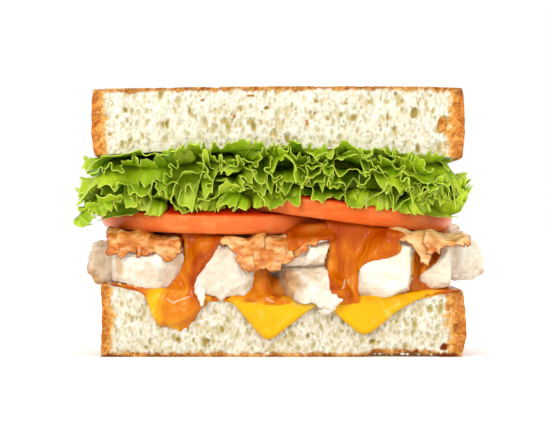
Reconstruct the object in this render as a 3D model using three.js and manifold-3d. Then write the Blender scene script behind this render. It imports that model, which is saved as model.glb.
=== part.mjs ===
// Chicken and bacon club sandwich, one half, on two thick slices of white bread.
// From the bottom: bread, three melted cheese slices, chicken chunks with sauce run between them,
// three bacon rashers, two round tomato slices, three frilled lettuce leaves, bread.
// Millimetres. +X is right, +Y runs from the cut front face to the crusted back, +Z is up.
// The origin is the middle of the bottom slice's lower face.
import * as THREE from "three";
import { mergeVertices } from "three/addons/utils/BufferGeometryUtils.js";
import Module from "manifold-3d";

const wasm = await Module();
wasm.setup();

// Driving dimensions
const BREAD_WIDTH = 120;
const BREAD_DEPTH = 72;
const BACK_CORNER_RADIUS = 19;
const SIDE_BULGE = 1.6; // how much wider the loaf is behind the cut than at it
const TOP_SLICE_HIGHEST = 87.4;
const CHEESE_THICKNESS = 2.6;
const BACON_THICKNESS = 1.9;
const TOMATO_THICKNESS = 6.5;
const TOMATO_RADIUS = 40;
const LEAF_THICKNESS = 0.9;
const GAP = 0.4; // kept between pieces that touch
const FRONT = -BREAD_DEPTH / 2;

const COLOURS = {
  bread: [0xf1e6cb, 0.9],
  cheese: [0xfcb01c, 0.3],
  chicken: [0xf0e4d0, 0.5],
  sauce: [0xe27a24, 0.25],
  bacon: [0xc9713f, 0.35],
  tomato: [0xdf5f35, 0.25],
  lettuce: [0x7fae25, 0.45],
};
const sandwich = new THREE.Group();

// Small maths
const clamp = (value, low, high) => Math.min(high, Math.max(low, value));
const mix = (a, b, share) => a + (b - a) * share;
function smooth(low, high, value) {
  const t = clamp((value - low) / (high - low), 0, 1);
  return t * t * (3 - 2 * t);
}
function hash(x, y, z, seed) {
  const s = Math.sin(x * 127.1 + y * 311.7 + z * 74.7 + seed * 53.3) * 43758.5453;
  return s - Math.floor(s);
}
// Value noise between -1 and 1
function noise(x, y, z, seed) {
  const [i, j, k] = [Math.floor(x), Math.floor(y), Math.floor(z)];
  const [u, v, w] = [smooth(0, 1, x - i), smooth(0, 1, y - j), smooth(0, 1, z - k)];
  const at = (a, b, c) => hash(i + a, j + b, k + c, seed);
  const layer = (c) => mix(mix(at(0, 0, c), at(1, 0, c), u), mix(at(0, 1, c), at(1, 1, c), u), v);
  return 2 * mix(layer(0), layer(1), w) - 1;
}
// A value read off a smooth curve through a list of [x, value]
function along(list, x) {
  const last = list.length - 1;
  if (x <= list[0][0]) return list[0][1];
  if (x >= list[last][0]) return list[last][1];
  const k = list.findIndex(([at]) => at > x) - 1;
  const slope = (i, j) => (list[j][1] - list[i][1]) / (list[j][0] - list[i][0]);
  const [from, to] = [slope(Math.max(0, k - 1), k + 1), slope(k, Math.min(last, k + 2))];
  const [a, b] = [list[k], list[k + 1]];
  const span = b[0] - a[0];
  const t = (x - a[0]) / span;
  const s = t * t * (3 - 2 * t);
  return mix(a[1], b[1], s) + span * t * (1 - t) * ((1 - t) * from - t * to);
}

// Geometry and solids
function indexed(geometry) {
  const bare = geometry.clone();
  bare.deleteAttribute("normal");
  bare.deleteAttribute("uv");
  return mergeVertices(bare, 1e-3);
}
function solidOf(geometry) {
  const g = indexed(geometry);
  return new wasm.Manifold(
    new wasm.Mesh({
      numProp: 3,
      vertProperties: new Float32Array(g.attributes.position.array),
      triVerts: new Uint32Array(g.index.array),
    }),
  );
}
function geometryOf(solid) {
  const mesh = solid.getMesh();
  const positions = new Float32Array(mesh.numVert * 3);
  for (let i = 0; i < mesh.numVert; i++) {
    positions.set(mesh.vertProperties.subarray(i * mesh.numProp, i * mesh.numProp + 3), i * 3);
  }
  const geometry = new THREE.BufferGeometry();
  geometry.setAttribute("position", new THREE.BufferAttribute(positions, 3));
  geometry.setIndex(new THREE.BufferAttribute(new Uint32Array(mesh.triVerts), 1));
  return geometry;
}
// The same form with its surface moved out by a gap, used to cut a neighbour clear of it
function grown(geometry, gap) {
  const g = indexed(geometry);
  g.computeVertexNormals();
  const [p, n] = [g.attributes.position, g.attributes.normal];
  for (let i = 0; i < p.count; i++) {
    p.setXYZ(i, p.getX(i) + n.getX(i) * gap, p.getY(i) + n.getY(i) * gap, p.getZ(i) + n.getZ(i) * gap);
  }
  return g;
}
const CUT_GAP = 0.6;
const LEAST_GAP = 0.2; // where merging the slivers has moved a face back
const CUT_TOLERANCE = 0.2; // merges the slivers that a cut leaves
function cutClear(geometry, neighbours) {
  const cut = (from, gap) => {
    const without = (left, other) => left.subtract(solidOf(grown(other, gap))).subtract(solidOf(other));
    return neighbours.reduce(without, from);
  };
  const merged = cut(solidOf(geometry), CUT_GAP).simplify(CUT_TOLERANCE);
  const bodies = cut(merged, LEAST_GAP).decompose();
  bodies.sort((a, b) => b.volume() - a.volume());
  return geometryOf(bodies[0]);
}
function add(name, look, geometry) {
  const [color, roughness] = COLOURS[look];
  const flat = geometry.clone();
  flat.computeVertexNormals();
  const material = new THREE.MeshStandardMaterial({ color, roughness, metalness: 0 });
  const mesh = new THREE.Mesh(flat, material);
  mesh.name = name;
  sandwich.add(mesh);
  return geometry;
}
// A closed sheet: pointOn(u, v, side) gives a point for u and v from 0 to 1 on side 1 or -1
function sheetGeometry(columns, rows, pointOn) {
  const positions = [];
  const index = [];
  const perSide = (columns + 1) * (rows + 1);
  for (const side of [1, -1]) {
    for (let j = 0; j <= rows; j++) {
      for (let i = 0; i <= columns; i++) positions.push(...pointOn(i / columns, j / rows, side));
    }
  }
  const at = (i, j, under) => j * (columns + 1) + i + under * perSide;
  for (let j = 0; j < rows; j++) {
    for (let i = 0; i < columns; i++) {
      const corners = [[i, j], [i + 1, j], [i + 1, j + 1], [i, j + 1]];
      const [a, b, c, d] = corners.map(([x, y]) => at(x, y, 0));
      index.push(a, b, c, a, c, d);
      const [e, f, g, h] = corners.map(([x, y]) => at(x, y, 1));
      index.push(e, g, f, e, h, g);
    }
  }
  const wall = (p, q) => {
    const [a, b, c, d] = [at(...p, 0), at(...q, 0), at(...q, 1), at(...p, 1)];
    index.push(a, c, b, a, d, c);
  };
  for (let i = 0; i < columns; i++) {
    wall([i, 0], [i + 1, 0]);
    wall([i + 1, rows], [i, rows]);
  }
  for (let j = 0; j < rows; j++) {
    wall([columns, j], [columns, j + 1]);
    wall([0, j + 1], [0, j]);
  }
  const geometry = new THREE.BufferGeometry();
  geometry.setAttribute("position", new THREE.Float32BufferAttribute(positions, 3));
  geometry.setIndex(index);
  return geometry;
}

// Bread
const BOTTOM_SLICE_TOP = [[-58, 23.9], [-30, 19.2], [12, 17.2], [40, 18.6], [60, 21.6]];
const TOP_SLICE_UNDER = [[-60, 65.3], [-30, 66.8], [5, 67.6], [30, 66.6], [60, 64.4]];
const TOP_SLICE_TOP = [[-60, 86.4], [0, TOP_SLICE_HIGHEST], [60, 86.5]];
const bottomSliceTop = (x) => along(BOTTOM_SLICE_TOP, x);
const topSliceUnder = (x) => along(TOP_SLICE_UNDER, x);

function halfWidthAt(y) {
  const behind = smooth(FRONT, FRONT + 26, y) * SIDE_BULGE;
  const half = BREAD_WIDTH / 2 + behind;
  const intoCorner = y - (BREAD_DEPTH / 2 - BACK_CORNER_RADIUS);
  if (intoCorner <= 0) return half;
  const reach = Math.sqrt(Math.max(0, BACK_CORNER_RADIUS ** 2 - intoCorner ** 2));
  return half - BACK_CORNER_RADIUS + reach;
}
// A slab with a flat front, bulged sides and round back corners, between two height functions
function breadSlab(under, over, leftShift, seed) {
  const box = new THREE.BoxGeometry(2, 2, 2, 14, 7, 2);
  const p = box.attributes.position;
  for (let i = 0; i < p.count; i++) {
    const [u, v, w] = [p.getX(i), p.getY(i), p.getZ(i)];
    const back = 1 - (1 - (v + 1) / 2) ** 1.5;
    const y = FRONT + BREAD_DEPTH * back;
    const left = u < 0 ? leftShift * -u : 0;
    const middleOfHeight = 1 - w * w;
    let x = u * halfWidthAt(y) + left;
    x += Math.sign(u) * Math.abs(u) ** 9 * (middleOfHeight * 0.9 - 0.5);
    if (Math.abs(u) > 0.99) x += 0.5 * noise(y / 9, w * 2, 0, seed);
    const z = mix(under(x), over(x), (w + 1) / 2);
    p.setXYZ(i, x, v > 0.99 ? y + 0.9 * middleOfHeight : y, z);
  }
  return box;
}
// Open cells of the crumb that are large enough to see from a step away
function openCells(count, under, over, seed, named) {
  const cells = [...named];
  for (let i = 0; i < count; i++) {
    const x = mix(-51, 50, (i + 0.2 + 0.6 * hash(i, 1, 0, seed)) / count);
    const z = mix(under(x) + 4, over(x) - 4, hash(i, 2, 0, seed));
    const wide = mix(0.8, 1.6, hash(i, 3, 0, seed));
    cells.push([x, z, wide, wide * mix(1.1, 1.7, hash(i, 4, 0, seed))]);
  }
  return cells.map(([x, z, wide, tall]) => {
    const ball = new THREE.SphereGeometry(1, 6, 4);
    ball.scale(wide, 1.5, tall);
    ball.rotateY(0.3);
    return ball.translate(x, FRONT + 0.25, z);
  });
}
function breadSlice(name, under, over, leftShift, seed, cells) {
  const slab = breadSlab(under, over, leftShift, seed);
  let solid = solidOf(slab);
  for (const cell of cells) solid = solid.subtract(solidOf(cell));
  return add(name, "bread", geometryOf(solid));
}
const flatBottom = () => 0;
const topSliceTop = (x) => along(TOP_SLICE_TOP, x);
const CRUST_HOLE = [50.6, 75.2, 1.7, 3.3]; // the large brown hole beside the right crust
const bottomSlice = breadSlab(flatBottom, bottomSliceTop, 2.2, 3);
breadSlice("bread_bottom", flatBottom, bottomSliceTop, 2.2, 3, openCells(7, flatBottom, bottomSliceTop, 5, []));
breadSlice("bread_top", topSliceUnder, topSliceTop, 0, 4, openCells(7, topSliceUnder, topSliceTop, 8, [CRUST_HOLE]));

// Cheese: square corners that point out of the front and the back and bend down over the bread
const BEND_RADIUS = 0.6;
function draped(path, lift) {
  const edge = BREAD_DEPTH / 2 - BEND_RADIUS;
  const beyond = Math.abs(path) - edge;
  const outward = Math.sign(path);
  if (beyond <= 0) return [path, lift];
  const neutral = BEND_RADIUS + CHEESE_THICKNESS;
  const radius = BEND_RADIUS + lift;
  const turn = Math.min(Math.PI / 2, beyond / neutral);
  const down = Math.max(0, beyond - (neutral * Math.PI) / 2);
  return [outward * (edge + radius * Math.sin(turn)), -BEND_RADIUS + radius * Math.cos(turn) - down];
}
const ON_BREAD = 0.8;
// From tip to tip over the bread, with more steps where the slice bends
const CHEESE_STEPS = [1, 0.8, 0.6, 0.4, 0.2, 0.06];
function cheeseSlice({ centre, half, front, back }) {
  const edge = BREAD_DEPTH / 2 - 1;
  const frontPaths = CHEESE_STEPS.map((share) => -edge - (front.tip - edge) * share);
  const backPaths = CHEESE_STEPS.toReversed().map((share) => edge + (back.tip - edge) * share);
  const paths = [...frontPaths, -edge, 0, edge, ...backPaths];
  return sheetGeometry(4, paths.length - 1, (u, v, side) => {
    const path = paths[Math.round(v * (paths.length - 1))];
    const tongue = path < 0 ? front : back;
    const beyond = clamp((Math.abs(path) - edge) / (tongue.tip - edge), 0, 1);
    const narrow = smooth(0, 0.2, beyond);
    const width = mix(half, tongue.half * (1 - beyond ** 1.5) + tongue.blunt, narrow);
    const x = mix(centre, tongue.at, narrow) + (2 * u - 1) * width;
    const [y, dz] = draped(path, ON_BREAD + (side > 0 ? CHEESE_THICKNESS : 0));
    return [x, y, bottomSliceTop(x) + dz];
  });
}
const cheeseSlices = {
  cheese_left: {
    centre: -36.3,
    half: 17.6,
    front: { tip: 48.4, at: -33.4, half: 8, blunt: 4.4 },
    back: { tip: 45.5, at: -37, half: 12, blunt: 2 },
  },
  cheese_middle: {
    centre: -1.8,
    half: 16.2,
    front: { tip: 50.4, at: -2.6, half: 13, blunt: 1.4 },
    back: { tip: 47, at: 0, half: 14, blunt: 1.4 },
  },
  cheese_right: {
    centre: 36.4,
    half: 21.2,
    front: { tip: 49.6, at: 29.4, half: 13, blunt: 1.6 },
    back: { tip: 46, at: 34, half: 14, blunt: 1.6 },
  },
};
const cheeses = Object.entries(cheeseSlices).map(([name, slice]) => add(name, "cheese", cheeseSlice(slice)));

// Tomato: round slices with a bevelled rim of skin, laid at a slant
const LEFT_TOMATO = { x: -20.5, y: -0.6, slopeX: -0.017, slopeY: 0.052, under: 41.9 };
const RIGHT_TOMATO = { x: 19.6, y: -0.4, slopeX: -0.131, slopeY: 0.052, under: 45.9 };
const tomatoUnder = (t, x, y) => t.under + t.slopeX * (x - t.x) + t.slopeY * (y - t.y);
function tomatoSlice(tomato, seed) {
  const half = TOMATO_THICKNESS / 2;
  const profile = [
    [0, -half],
    [TOMATO_RADIUS - 1.7, -half],
    [TOMATO_RADIUS - 0.5, -half * 0.4],
    [TOMATO_RADIUS, half * 0.45],
    [TOMATO_RADIUS - 0.5, half],
    [0, half],
  ];
  const disc = new THREE.LatheGeometry(profile.map(([r, h]) => new THREE.Vector2(r, h)), 36);
  const p = disc.attributes.position;
  for (let i = 0; i < p.count; i++) {
    const [a, b] = [p.getX(i), p.getZ(i)];
    const angle = Math.atan2(b, a);
    const uneven = 1 + 0.012 * Math.cos(3 * angle + seed) + 0.008 * Math.cos(5 * angle + 2 * seed);
    const [x, y] = [tomato.x + a * uneven, tomato.y - b * uneven];
    p.setXYZ(i, x, y, tomatoUnder(tomato, x, y) + half + p.getY(i));
  }
  return disc;
}
const rightTomato = tomatoSlice(RIGHT_TOMATO, 2.1);
const leftTomato = cutClear(tomatoSlice(LEFT_TOMATO, 0.7), [rightTomato]);
add("tomato_left", "tomato", leftTomato);
add("tomato_right", "tomato", rightTomato);

// Bacon: rashers that run from front to back under the tomato, with front ends that hang down
function baconRasher({ tomato, from, to, hang, seed }) {
  const bend = 3.2;
  return sheetGeometry(6, 12, (u, v, side) => {
    const across = mix(from, to, u);
    const start = -37.2 - 0.8 * noise(u * 3, 0, 0, seed);
    const hangHere = along(hang, u);
    const length = 38.5 - start + 1.5 * noise(u * 4, 2, 0, seed);
    const path = mix(-hangHere - bend, length, v ** 0.85);
    const ripple = 0.9 * Math.sin(path / 4.2 + 2 * noise(u * 2, path / 20, 0, seed)) + 0.4 * Math.sin(u * 14 + path / 9);
    const half = (side * BACON_THICKNESS) / 2;
    const x = across + 1.1 * noise(path / 13, u, 3, seed);
    let [y, z] = [start + path, 0];
    let [ny, nz] = [0, 1];
    if (path < 0) {
      const turn = Math.min(Math.PI / 2.15, -path / bend);
      const down = Math.max(0, -path - turn * bend);
      y = start - bend * Math.sin(turn) - down * Math.cos(turn);
      z = -bend * (1 - Math.cos(turn)) - down * Math.sin(turn);
      [ny, nz] = [-Math.sin(turn), Math.cos(turn)];
    }
    const lie = tomatoUnder(tomato, x, Math.max(y, start)) - GAP - BACON_THICKNESS / 2 - 1.35;
    const out = path < 0 ? 0.35 * ripple * smooth(0, 4, -path) : 0;
    const flat = path < 0 ? ripple * (1 - smooth(0, 4, -path)) : ripple;
    return [x, y + ny * (half + out), lie + z + nz * (half + flat)];
  });
}
const RASHERS = {
  bacon_left: {
    tomato: LEFT_TOMATO,
    from: -56,
    to: -31,
    hang: [[0, 4.6], [0.25, 5.2], [0.5, 3.6], [0.75, 6.2], [1, 2.6]],
    seed: 11,
  },
  bacon_middle: {
    tomato: LEFT_TOMATO,
    from: -18.5,
    to: 16.5,
    hang: [[0, 2.4], [0.15, 4.5], [0.2, 9.6], [0.6, 9.4], [0.7, 7.2], [0.82, 1.2], [1, 0]],
    seed: 12,
  },
  bacon_right: {
    tomato: RIGHT_TOMATO,
    from: 36.5,
    to: 62.5,
    hang: [[0, 0.6], [0.3, 0.8], [0.48, 7], [0.62, 4.2], [0.8, 0.6], [1, 0]],
    seed: 13,
  },
};
const rashers = Object.entries(RASHERS).map(([name, rasher]) => {
  const cut = cutClear(baconRasher(rasher), [leftTomato, rightTomato]);
  return add(name, "bacon", cut);
});

// Chicken: rounded chunks of breast, pressed flat where they meet their neighbours
function chickenChunk({ x, y, z, lean, seed }) {
  const box = new THREE.BoxGeometry(2, 2, 2, 3, 4, 3);
  const p = box.attributes.position;
  const corner = 5;
  const [cx, cy, cz] = [x, y, z].map(([low, high]) => (low + high) / 2);
  const [hx, hy, hz] = [x, y, z].map(([low, high]) => (high - low) / 2);
  for (let i = 0; i < p.count; i++) {
    const [a, b, c] = [p.getX(i), p.getY(i), p.getZ(i)];
    const size = (Math.abs(a) ** corner + Math.abs(b) ** corner + Math.abs(c) ** corner) ** (1 / corner);
    const relief = 1 + 0.07 * noise(a * 1.9 + 5, b * 1.9, c * 1.9, seed);
    const k = relief / size;
    p.setXYZ(i, cx + hx * a * k + lean * c * k, cy + hy * b * k, cz + hz * c * k);
  }
  return box;
}
const CHUNKS = {
  chicken_front_1: { x: [-54, -31.8], y: [-37.6, -15], z: [20.4, 41], lean: 0.8, seed: 21 },
  chicken_front_2: { x: [-28.6, -7], y: [-37.8, -1.5], z: [17.8, 40], lean: 2, seed: 22 },
  chicken_front_3: { x: [-2.2, 21.4], y: [-38.2, -3], z: [15.5, 29.2], lean: -1, seed: 23 },
  chicken_front_4: { x: [-3, 18.6], y: [-37.2, -2.6], z: [29.8, 40.4], lean: 0.8, seed: 24 },
  chicken_front_5: { x: [25.4, 43.6], y: [-38.4, -3.4], z: [17.5, 42], lean: 2.2, seed: 25 },
  chicken_front_6: { x: [46.6, 57.6], y: [-37, -13], z: [21, 38.5], lean: 0.8, seed: 26 },
  chicken_left: { x: [-64, -32], y: [-13, 10.6], z: [23, 40], lean: 1.5, seed: 27 },
  chicken_right: { x: [46.6, 69.5], y: [-10.6, 14], z: [23.5, 38.5], lean: -1.5, seed: 28 },
  chicken_back_1: { x: [-58, -36.6], y: [12.6, 38.2], z: [21.6, 43], lean: -1, seed: 29 },
  chicken_back_2: { x: [-34, -13], y: [1, 37.6], z: [21, 43], lean: 1, seed: 30 },
  chicken_back_3: { x: [-10.6, 13.6], y: [0, 38.6], z: [20, 42], lean: -0.6, seed: 31 },
  chicken_back_4: { x: [16, 40.6], y: [-1, 37.8], z: [20, 43.6], lean: 0.8, seed: 32 },
  chicken_back_5: { x: [43, 60.5], y: [16.4, 37.4], z: [21.6, 41], lean: 0.7, seed: 33 },
};
const chunks = [];
for (const [name, chunk] of Object.entries(CHUNKS)) {
  const pressed = cutClear(chickenChunk(chunk), [bottomSlice, ...cheeses, ...rashers, leftTomato, rightTomato, ...chunks]);
  chunks.push(add(name, "chicken", pressed));
}

// Sauce: thick runs between the chunks, [x, y, z, half width, half depth] down the run
function sauceRun(stations) {
  const steps = stations.length;
  const sides = 8;
  const curve = new THREE.CatmullRomCurve3(stations.map(([x, y, z]) => new THREE.Vector3(x, y, z)));
  const widths = new THREE.CatmullRomCurve3(stations.map(([, , , w, d]) => new THREE.Vector3(w, d, 0)));
  const positions = [];
  const index = [];
  for (let j = 0; j <= steps; j++) {
    const t = j / steps;
    const at = curve.getPoint(t);
    const size = widths.getPoint(t);
    for (let i = 0; i < sides; i++) {
      const angle = (2 * Math.PI * i) / sides;
      positions.push(at.x + size.x * Math.cos(angle), at.y + size.y * Math.sin(angle), at.z);
    }
  }
  for (let j = 0; j < steps; j++) {
    for (let i = 0; i < sides; i++) {
      const next = (i + 1) % sides;
      const [a, b] = [j * sides + i, j * sides + next];
      index.push(a, a + sides, b, b, a + sides, b + sides);
    }
  }
  for (let i = 1; i < sides - 1; i++) {
    index.push(0, i, i + 1);
    const end = steps * sides;
    index.push(end, end + i + 1, end + i);
  }
  const geometry = new THREE.BufferGeometry();
  geometry.setAttribute("position", new THREE.Float32BufferAttribute(positions, 3));
  geometry.setIndex(index);
  return geometry;
}
const SAUCE_RUNS = {
  sauce_left: [
    [-23.4, -35, 40.6, 6.8, 3.6],
    [-24.4, -35.6, 35, 5.6, 3.4],
    [-25.8, -36, 30.5, 4.4, 3.2],
    [-28, -36.6, 26, 3.4, 3],
    [-30.4, -37.4, 21.6, 4.6, 2.8],
    [-32.8, -38.9, 18, 8.2, 2.4],
    [-33.6, -39.4, 14.4, 8, 2.1],
    [-33.6, -39.5, 11, 6.4, 1.9],
    [-33.2, -39.5, 9.2, 4, 1.6],
  ],
  sauce_middle: [
    [-6.4, -35.4, 30.4, 3.6, 3.4],
    [-5.4, -36.4, 26, 3, 3.2],
    [-3.8, -37.4, 22, 3.4, 3],
    [-1.6, -38.8, 18.6, 4.6, 2.4],
  ],
  sauce_right: [
    [28.4, -35, 44, 10.5, 3.6],
    [29.4, -36.4, 37, 11.8, 3.4],
    [27.4, -36.8, 32.5, 9.4, 3.4],
    [23.6, -37.2, 28.5, 5.4, 3.2],
    [22.3, -37.4, 24, 3.4, 3],
    [22.4, -37.8, 20.4, 3.8, 2.6],
    [24, -38.8, 17.2, 6, 2.2],
  ],
};
for (const [name, stations] of Object.entries(SAUCE_RUNS)) {
  const poured = cutClear(sauceRun(stations), [bottomSlice, ...cheeses, ...rashers, ...chunks, leftTomato, rightTomato]);
  add(name, "sauce", poured);
}

// Lettuce: leaves that cover the sandwich, with a ruffled frill hanging out all round
const LEAF_STEPS = 104; // round the leaf
const FRILL_RINGS = [0, 0.5, 1]; // shares of the frill, from the bread's edge to the leaf's margin
const LEAF_CLEARANCE = 0.8; // from the bread's edge to where the frill starts
// Even steps round the bread's edge, from the middle of the front by way of the right side
function leafEdge() {
  const halfX = BREAD_WIDTH / 2 + SIDE_BULGE * 0.6 + LEAF_CLEARANCE;
  const halfY = BREAD_DEPTH / 2 + LEAF_CLEARANCE;
  const [front, back] = [3, BACK_CORNER_RADIUS + LEAF_CLEARANCE];
  const quarter = Math.PI / 2;
  const path = new THREE.Path();
  path.moveTo(0, -halfY);
  path.lineTo(halfX - front, -halfY);
  path.absarc(halfX - front, front - halfY, front, -quarter, 0);
  path.lineTo(halfX, halfY - back);
  path.absarc(halfX - back, halfY - back, back, 0, quarter);
  path.lineTo(back - halfX, halfY);
  path.absarc(back - halfX, halfY - back, back, quarter, 2 * quarter);
  path.lineTo(-halfX, front - halfY);
  path.absarc(front - halfX, front - halfY, front, 2 * quarter, 3 * quarter);
  path.lineTo(0, -halfY);
  const points = path.getSpacedPoints(LEAF_STEPS).slice(0, LEAF_STEPS);
  return points.map(({ x, y }, i) => {
    const before = points[(i + LEAF_STEPS - 1) % LEAF_STEPS];
    const after = points[(i + 1) % LEAF_STEPS];
    const outward = new THREE.Vector2(after.y - before.y, before.x - after.x).normalize();
    return { x, y, outward };
  });
}
const LEAF_EDGE = leafEdge();
// The ruffles of all leaves run together, as in a stack of leaves pressed on each other
function ruffleAt(i) {
  const turn = (2 * Math.PI * i) / LEAF_STEPS;
  const phase = 23 * turn + 1.5 * Math.sin(2 * turn + 1) + 0.9 * Math.sin(5 * turn + 2);
  return 0.8 * Math.sin(phase) + 0.35 * Math.sin(2 * phase + 3 * Math.sin(3 * turn));
}
// A point of the leaf's middle, at step i round it and a share of the frill out from the bread
function frillPoint({ edge, hem, out, depth, seed }, i, share) {
  const { x, y, outward } = LEAF_EDGE[i];
  const tooth = (i % 2 ? 0.08 : -0.08) + 0.07 * noise(i * 0.7, 0, 0, seed);
  const t = share * (1 + share * tooth);
  const [from, to, reach] = [edge(x, y), hem(x, y), out(x, y)];
  const [slopeOut, slopeUp] = [2 * reach * (1 - 0.8 * t), 2 * (to - from) * t];
  const steep = Math.hypot(slopeOut, slopeUp);
  const ruffle = depth * share ** 1.3 * ruffleAt(i);
  const away = reach * (2 * t - 0.8 * t * t) * 0.83 - (slopeUp / steep) * ruffle;
  const up = from + (to - from) * t * t + (slopeOut / steep) * ruffle;
  return new THREE.Vector3(x + outward.x * away, y + outward.y * away, up);
}
function leafGeometry(leaf) {
  const rows = FRILL_RINGS.length;
  const rings = FRILL_RINGS.map((share) => LEAF_EDGE.map((_, i) => frillPoint(leaf, i, share)));
  const half = LEAF_THICKNESS / 2;
  const positions = [];
  for (const side of [1, -1]) {
    for (let j = 0; j < rows; j++) {
      for (let i = 0; i < LEAF_STEPS; i++) {
        const before = rings[j][(i + LEAF_STEPS - 1) % LEAF_STEPS];
        const round = rings[j][(i + 1) % LEAF_STEPS].clone().sub(before);
        const outward = rings[Math.min(rows - 1, j + 1)][i].clone().sub(rings[Math.max(0, j - 1)][i]);
        const normal = outward.cross(round).normalize();
        if (j === 0) normal.set(0, 0, 1);
        const p = rings[j][i].clone().addScaledVector(normal, half * side);
        positions.push(p.x, p.y, p.z);
      }
    }
  }
  positions.push(0, 0, leaf.crown + half, 0, 0, leaf.crown - half);
  const under = rows * LEAF_STEPS;
  const [crownTop, crownUnder] = [2 * under, 2 * under + 1];
  const at = (i, j) => j * LEAF_STEPS + (i % LEAF_STEPS);
  const index = [];
  for (let i = 0; i < LEAF_STEPS; i++) {
    index.push(crownTop, at(i, 0), at(i + 1, 0), crownUnder, under + at(i + 1, 0), under + at(i, 0));
    for (let j = 0; j < rows - 1; j++) {
      const [a, b, c, d] = [at(i, j), at(i + 1, j), at(i + 1, j + 1), at(i, j + 1)];
      index.push(a, d, c, a, c, b);
      index.push(under + a, under + c, under + d, under + a, under + b, under + c);
    }
    const [a, b] = [at(i, rows - 1), at(i + 1, rows - 1)];
    index.push(a, under + a, under + b, a, under + b, b);
  }
  const geometry = new THREE.BufferGeometry();
  geometry.setAttribute("position", new THREE.Float32BufferAttribute(positions, 3));
  geometry.setIndex(index);
  return geometry;
}
const LOW_HEM = [
  [-66, 43], [-58, 43.5], [-50, 45], [-40, 43.5], [-28, 46.5], [-14, 50.5], [0, 51.5],
  [17, 53], [24, 52.4], [31, 49.6], [38, 48], [45, 44.6], [53, 44], [60, 45.6],
];
// At the front and the back the frills hang lower and reach farther out than at the sides
const atEnds = (x, y) => smooth(20, BREAD_DEPTH / 2, Math.abs(y)) * smooth(64, 44, Math.abs(x));
const fromFront = (y) => y + BREAD_DEPTH / 2;
const LOW_EDGE = [[-60, 51.2], [-36, 51.6], [-16, 54.4], [0, 56.6], [20, 54.4], [40, 51], [60, 49.2]];
const MIDDLE_EDGE = [[-60, 57], [-36, 57.6], [-16, 59.6], [0, 61], [20, 59.8], [40, 57.4], [60, 55.4]];
const MIDDLE_HEM = [[-60, 49], [-36, 49.4], [-14, 53.4], [20, 55], [40, 50.6], [60, 48.6]];
const LEAVES = {
  lettuce_low: {
    edge: (x, y) => along(LOW_EDGE, x) + 0.052 * fromFront(y),
    hem: (x, y) => along(LOW_HEM, x) + 0.03 * fromFront(y),
    out: (x, y) => mix(x < 0 ? 6.4 : 3.6, 5.6, atEnds(x, y)),
    depth: 1.9,
    crown: 61.6,
    seed: 1,
  },
  lettuce_middle: {
    edge: (x, y) => along(MIDDLE_EDGE, x) + 0.03 * fromFront(y),
    hem: (x, y) => along(MIDDLE_HEM, x) + 4.2 * (1 - atEnds(x, y)) + 0.03 * fromFront(y),
    out: (x, y) => mix(x < 0 ? 4.6 : 3.4, 8.4, atEnds(x, y)),
    depth: 2.9,
    crown: 63.8,
    seed: 2,
  },
  lettuce_high: {
    edge: (x) => topSliceUnder(x) - 1.6,
    hem: (x, y) => topSliceUnder(x) - mix(4, 8.6, atEnds(x, y)),
    out: (x, y) => mix(2.6, 10, atEnds(x, y)),
    depth: 3.4,
    crown: 65.8,
    seed: 3,
  },
};
for (const [name, leaf] of Object.entries(LEAVES)) add(name, "lettuce", leafGeometry(leaf));

export default sandwich;
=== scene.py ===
import math
from itertools import product

import bpy
import numpy as np
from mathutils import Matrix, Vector
from mathutils.bvhtree import BVHTree


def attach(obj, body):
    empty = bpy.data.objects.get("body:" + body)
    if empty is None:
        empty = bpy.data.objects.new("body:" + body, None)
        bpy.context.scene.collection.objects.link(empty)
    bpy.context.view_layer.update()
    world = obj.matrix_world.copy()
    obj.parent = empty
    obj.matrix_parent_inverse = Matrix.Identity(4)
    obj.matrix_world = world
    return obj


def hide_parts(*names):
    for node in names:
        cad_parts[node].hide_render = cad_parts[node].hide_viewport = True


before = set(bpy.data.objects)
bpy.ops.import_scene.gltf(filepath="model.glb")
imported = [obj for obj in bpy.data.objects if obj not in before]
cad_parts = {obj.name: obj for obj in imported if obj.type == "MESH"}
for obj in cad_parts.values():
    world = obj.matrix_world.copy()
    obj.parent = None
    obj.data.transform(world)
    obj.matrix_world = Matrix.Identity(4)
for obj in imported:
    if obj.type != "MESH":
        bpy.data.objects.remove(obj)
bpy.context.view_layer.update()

# Sizes are in millimetres, as in the solids, and meshes are scaled to metres when they are made.
# x runs to the right, y from the cut face to the crusted back, z up from the foot of the lower slice.
MM = 0.001
BREAD_WIDTH = 120.0
BREAD_DEPTH = 72.0
FRONT, BACK = -BREAD_DEPTH / 2, BREAD_DEPTH / 2
BACK_CORNER_RADIUS = 19.0
SIDE_BULGE = 1.6


def mix(a, b, t):
    return a + (b - a) * t


def eased(t):
    return t * t * (3 - 2 * t)


def smooth(low, high, value):
    return eased(np.clip((value - low) / (high - low), 0, 1))


def along(knots, x):
    """The value of a smooth curve through (x, value) knots."""
    xs, ys = np.array(knots, float).T
    x = np.clip(np.asarray(x, float), xs[0], xs[-1])
    last = len(xs) - 1
    k = np.clip(np.searchsorted(xs, x, side="right") - 1, 0, last - 1)

    def slope(i, j):
        return (ys[j] - ys[i]) / (xs[j] - xs[i])

    start, end = slope(np.maximum(0, k - 1), k + 1), slope(k, np.minimum(last, k + 2))
    span = xs[k + 1] - xs[k]
    t = (x - xs[k]) / span
    bend = span * t * (1 - t) * ((1 - t) * start - t * end)
    return mix(ys[k], ys[k + 1], eased(t)) + bend


def hashed(i, j, k, seed):
    """A number from 0 to 1 for each whole i, j and k."""
    n = (i * 374761393 + j * 668265263 + k * 1440662683 + seed * 1274126177) & 0xFFFFFFFF
    n = ((n ^ (n >> 13)) * 1274126177) & 0xFFFFFFFF
    n = ((n ^ (n >> 16)) * 2246822519) & 0xFFFFFFFF
    return (n ^ (n >> 15)) / 4294967295.0


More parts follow.
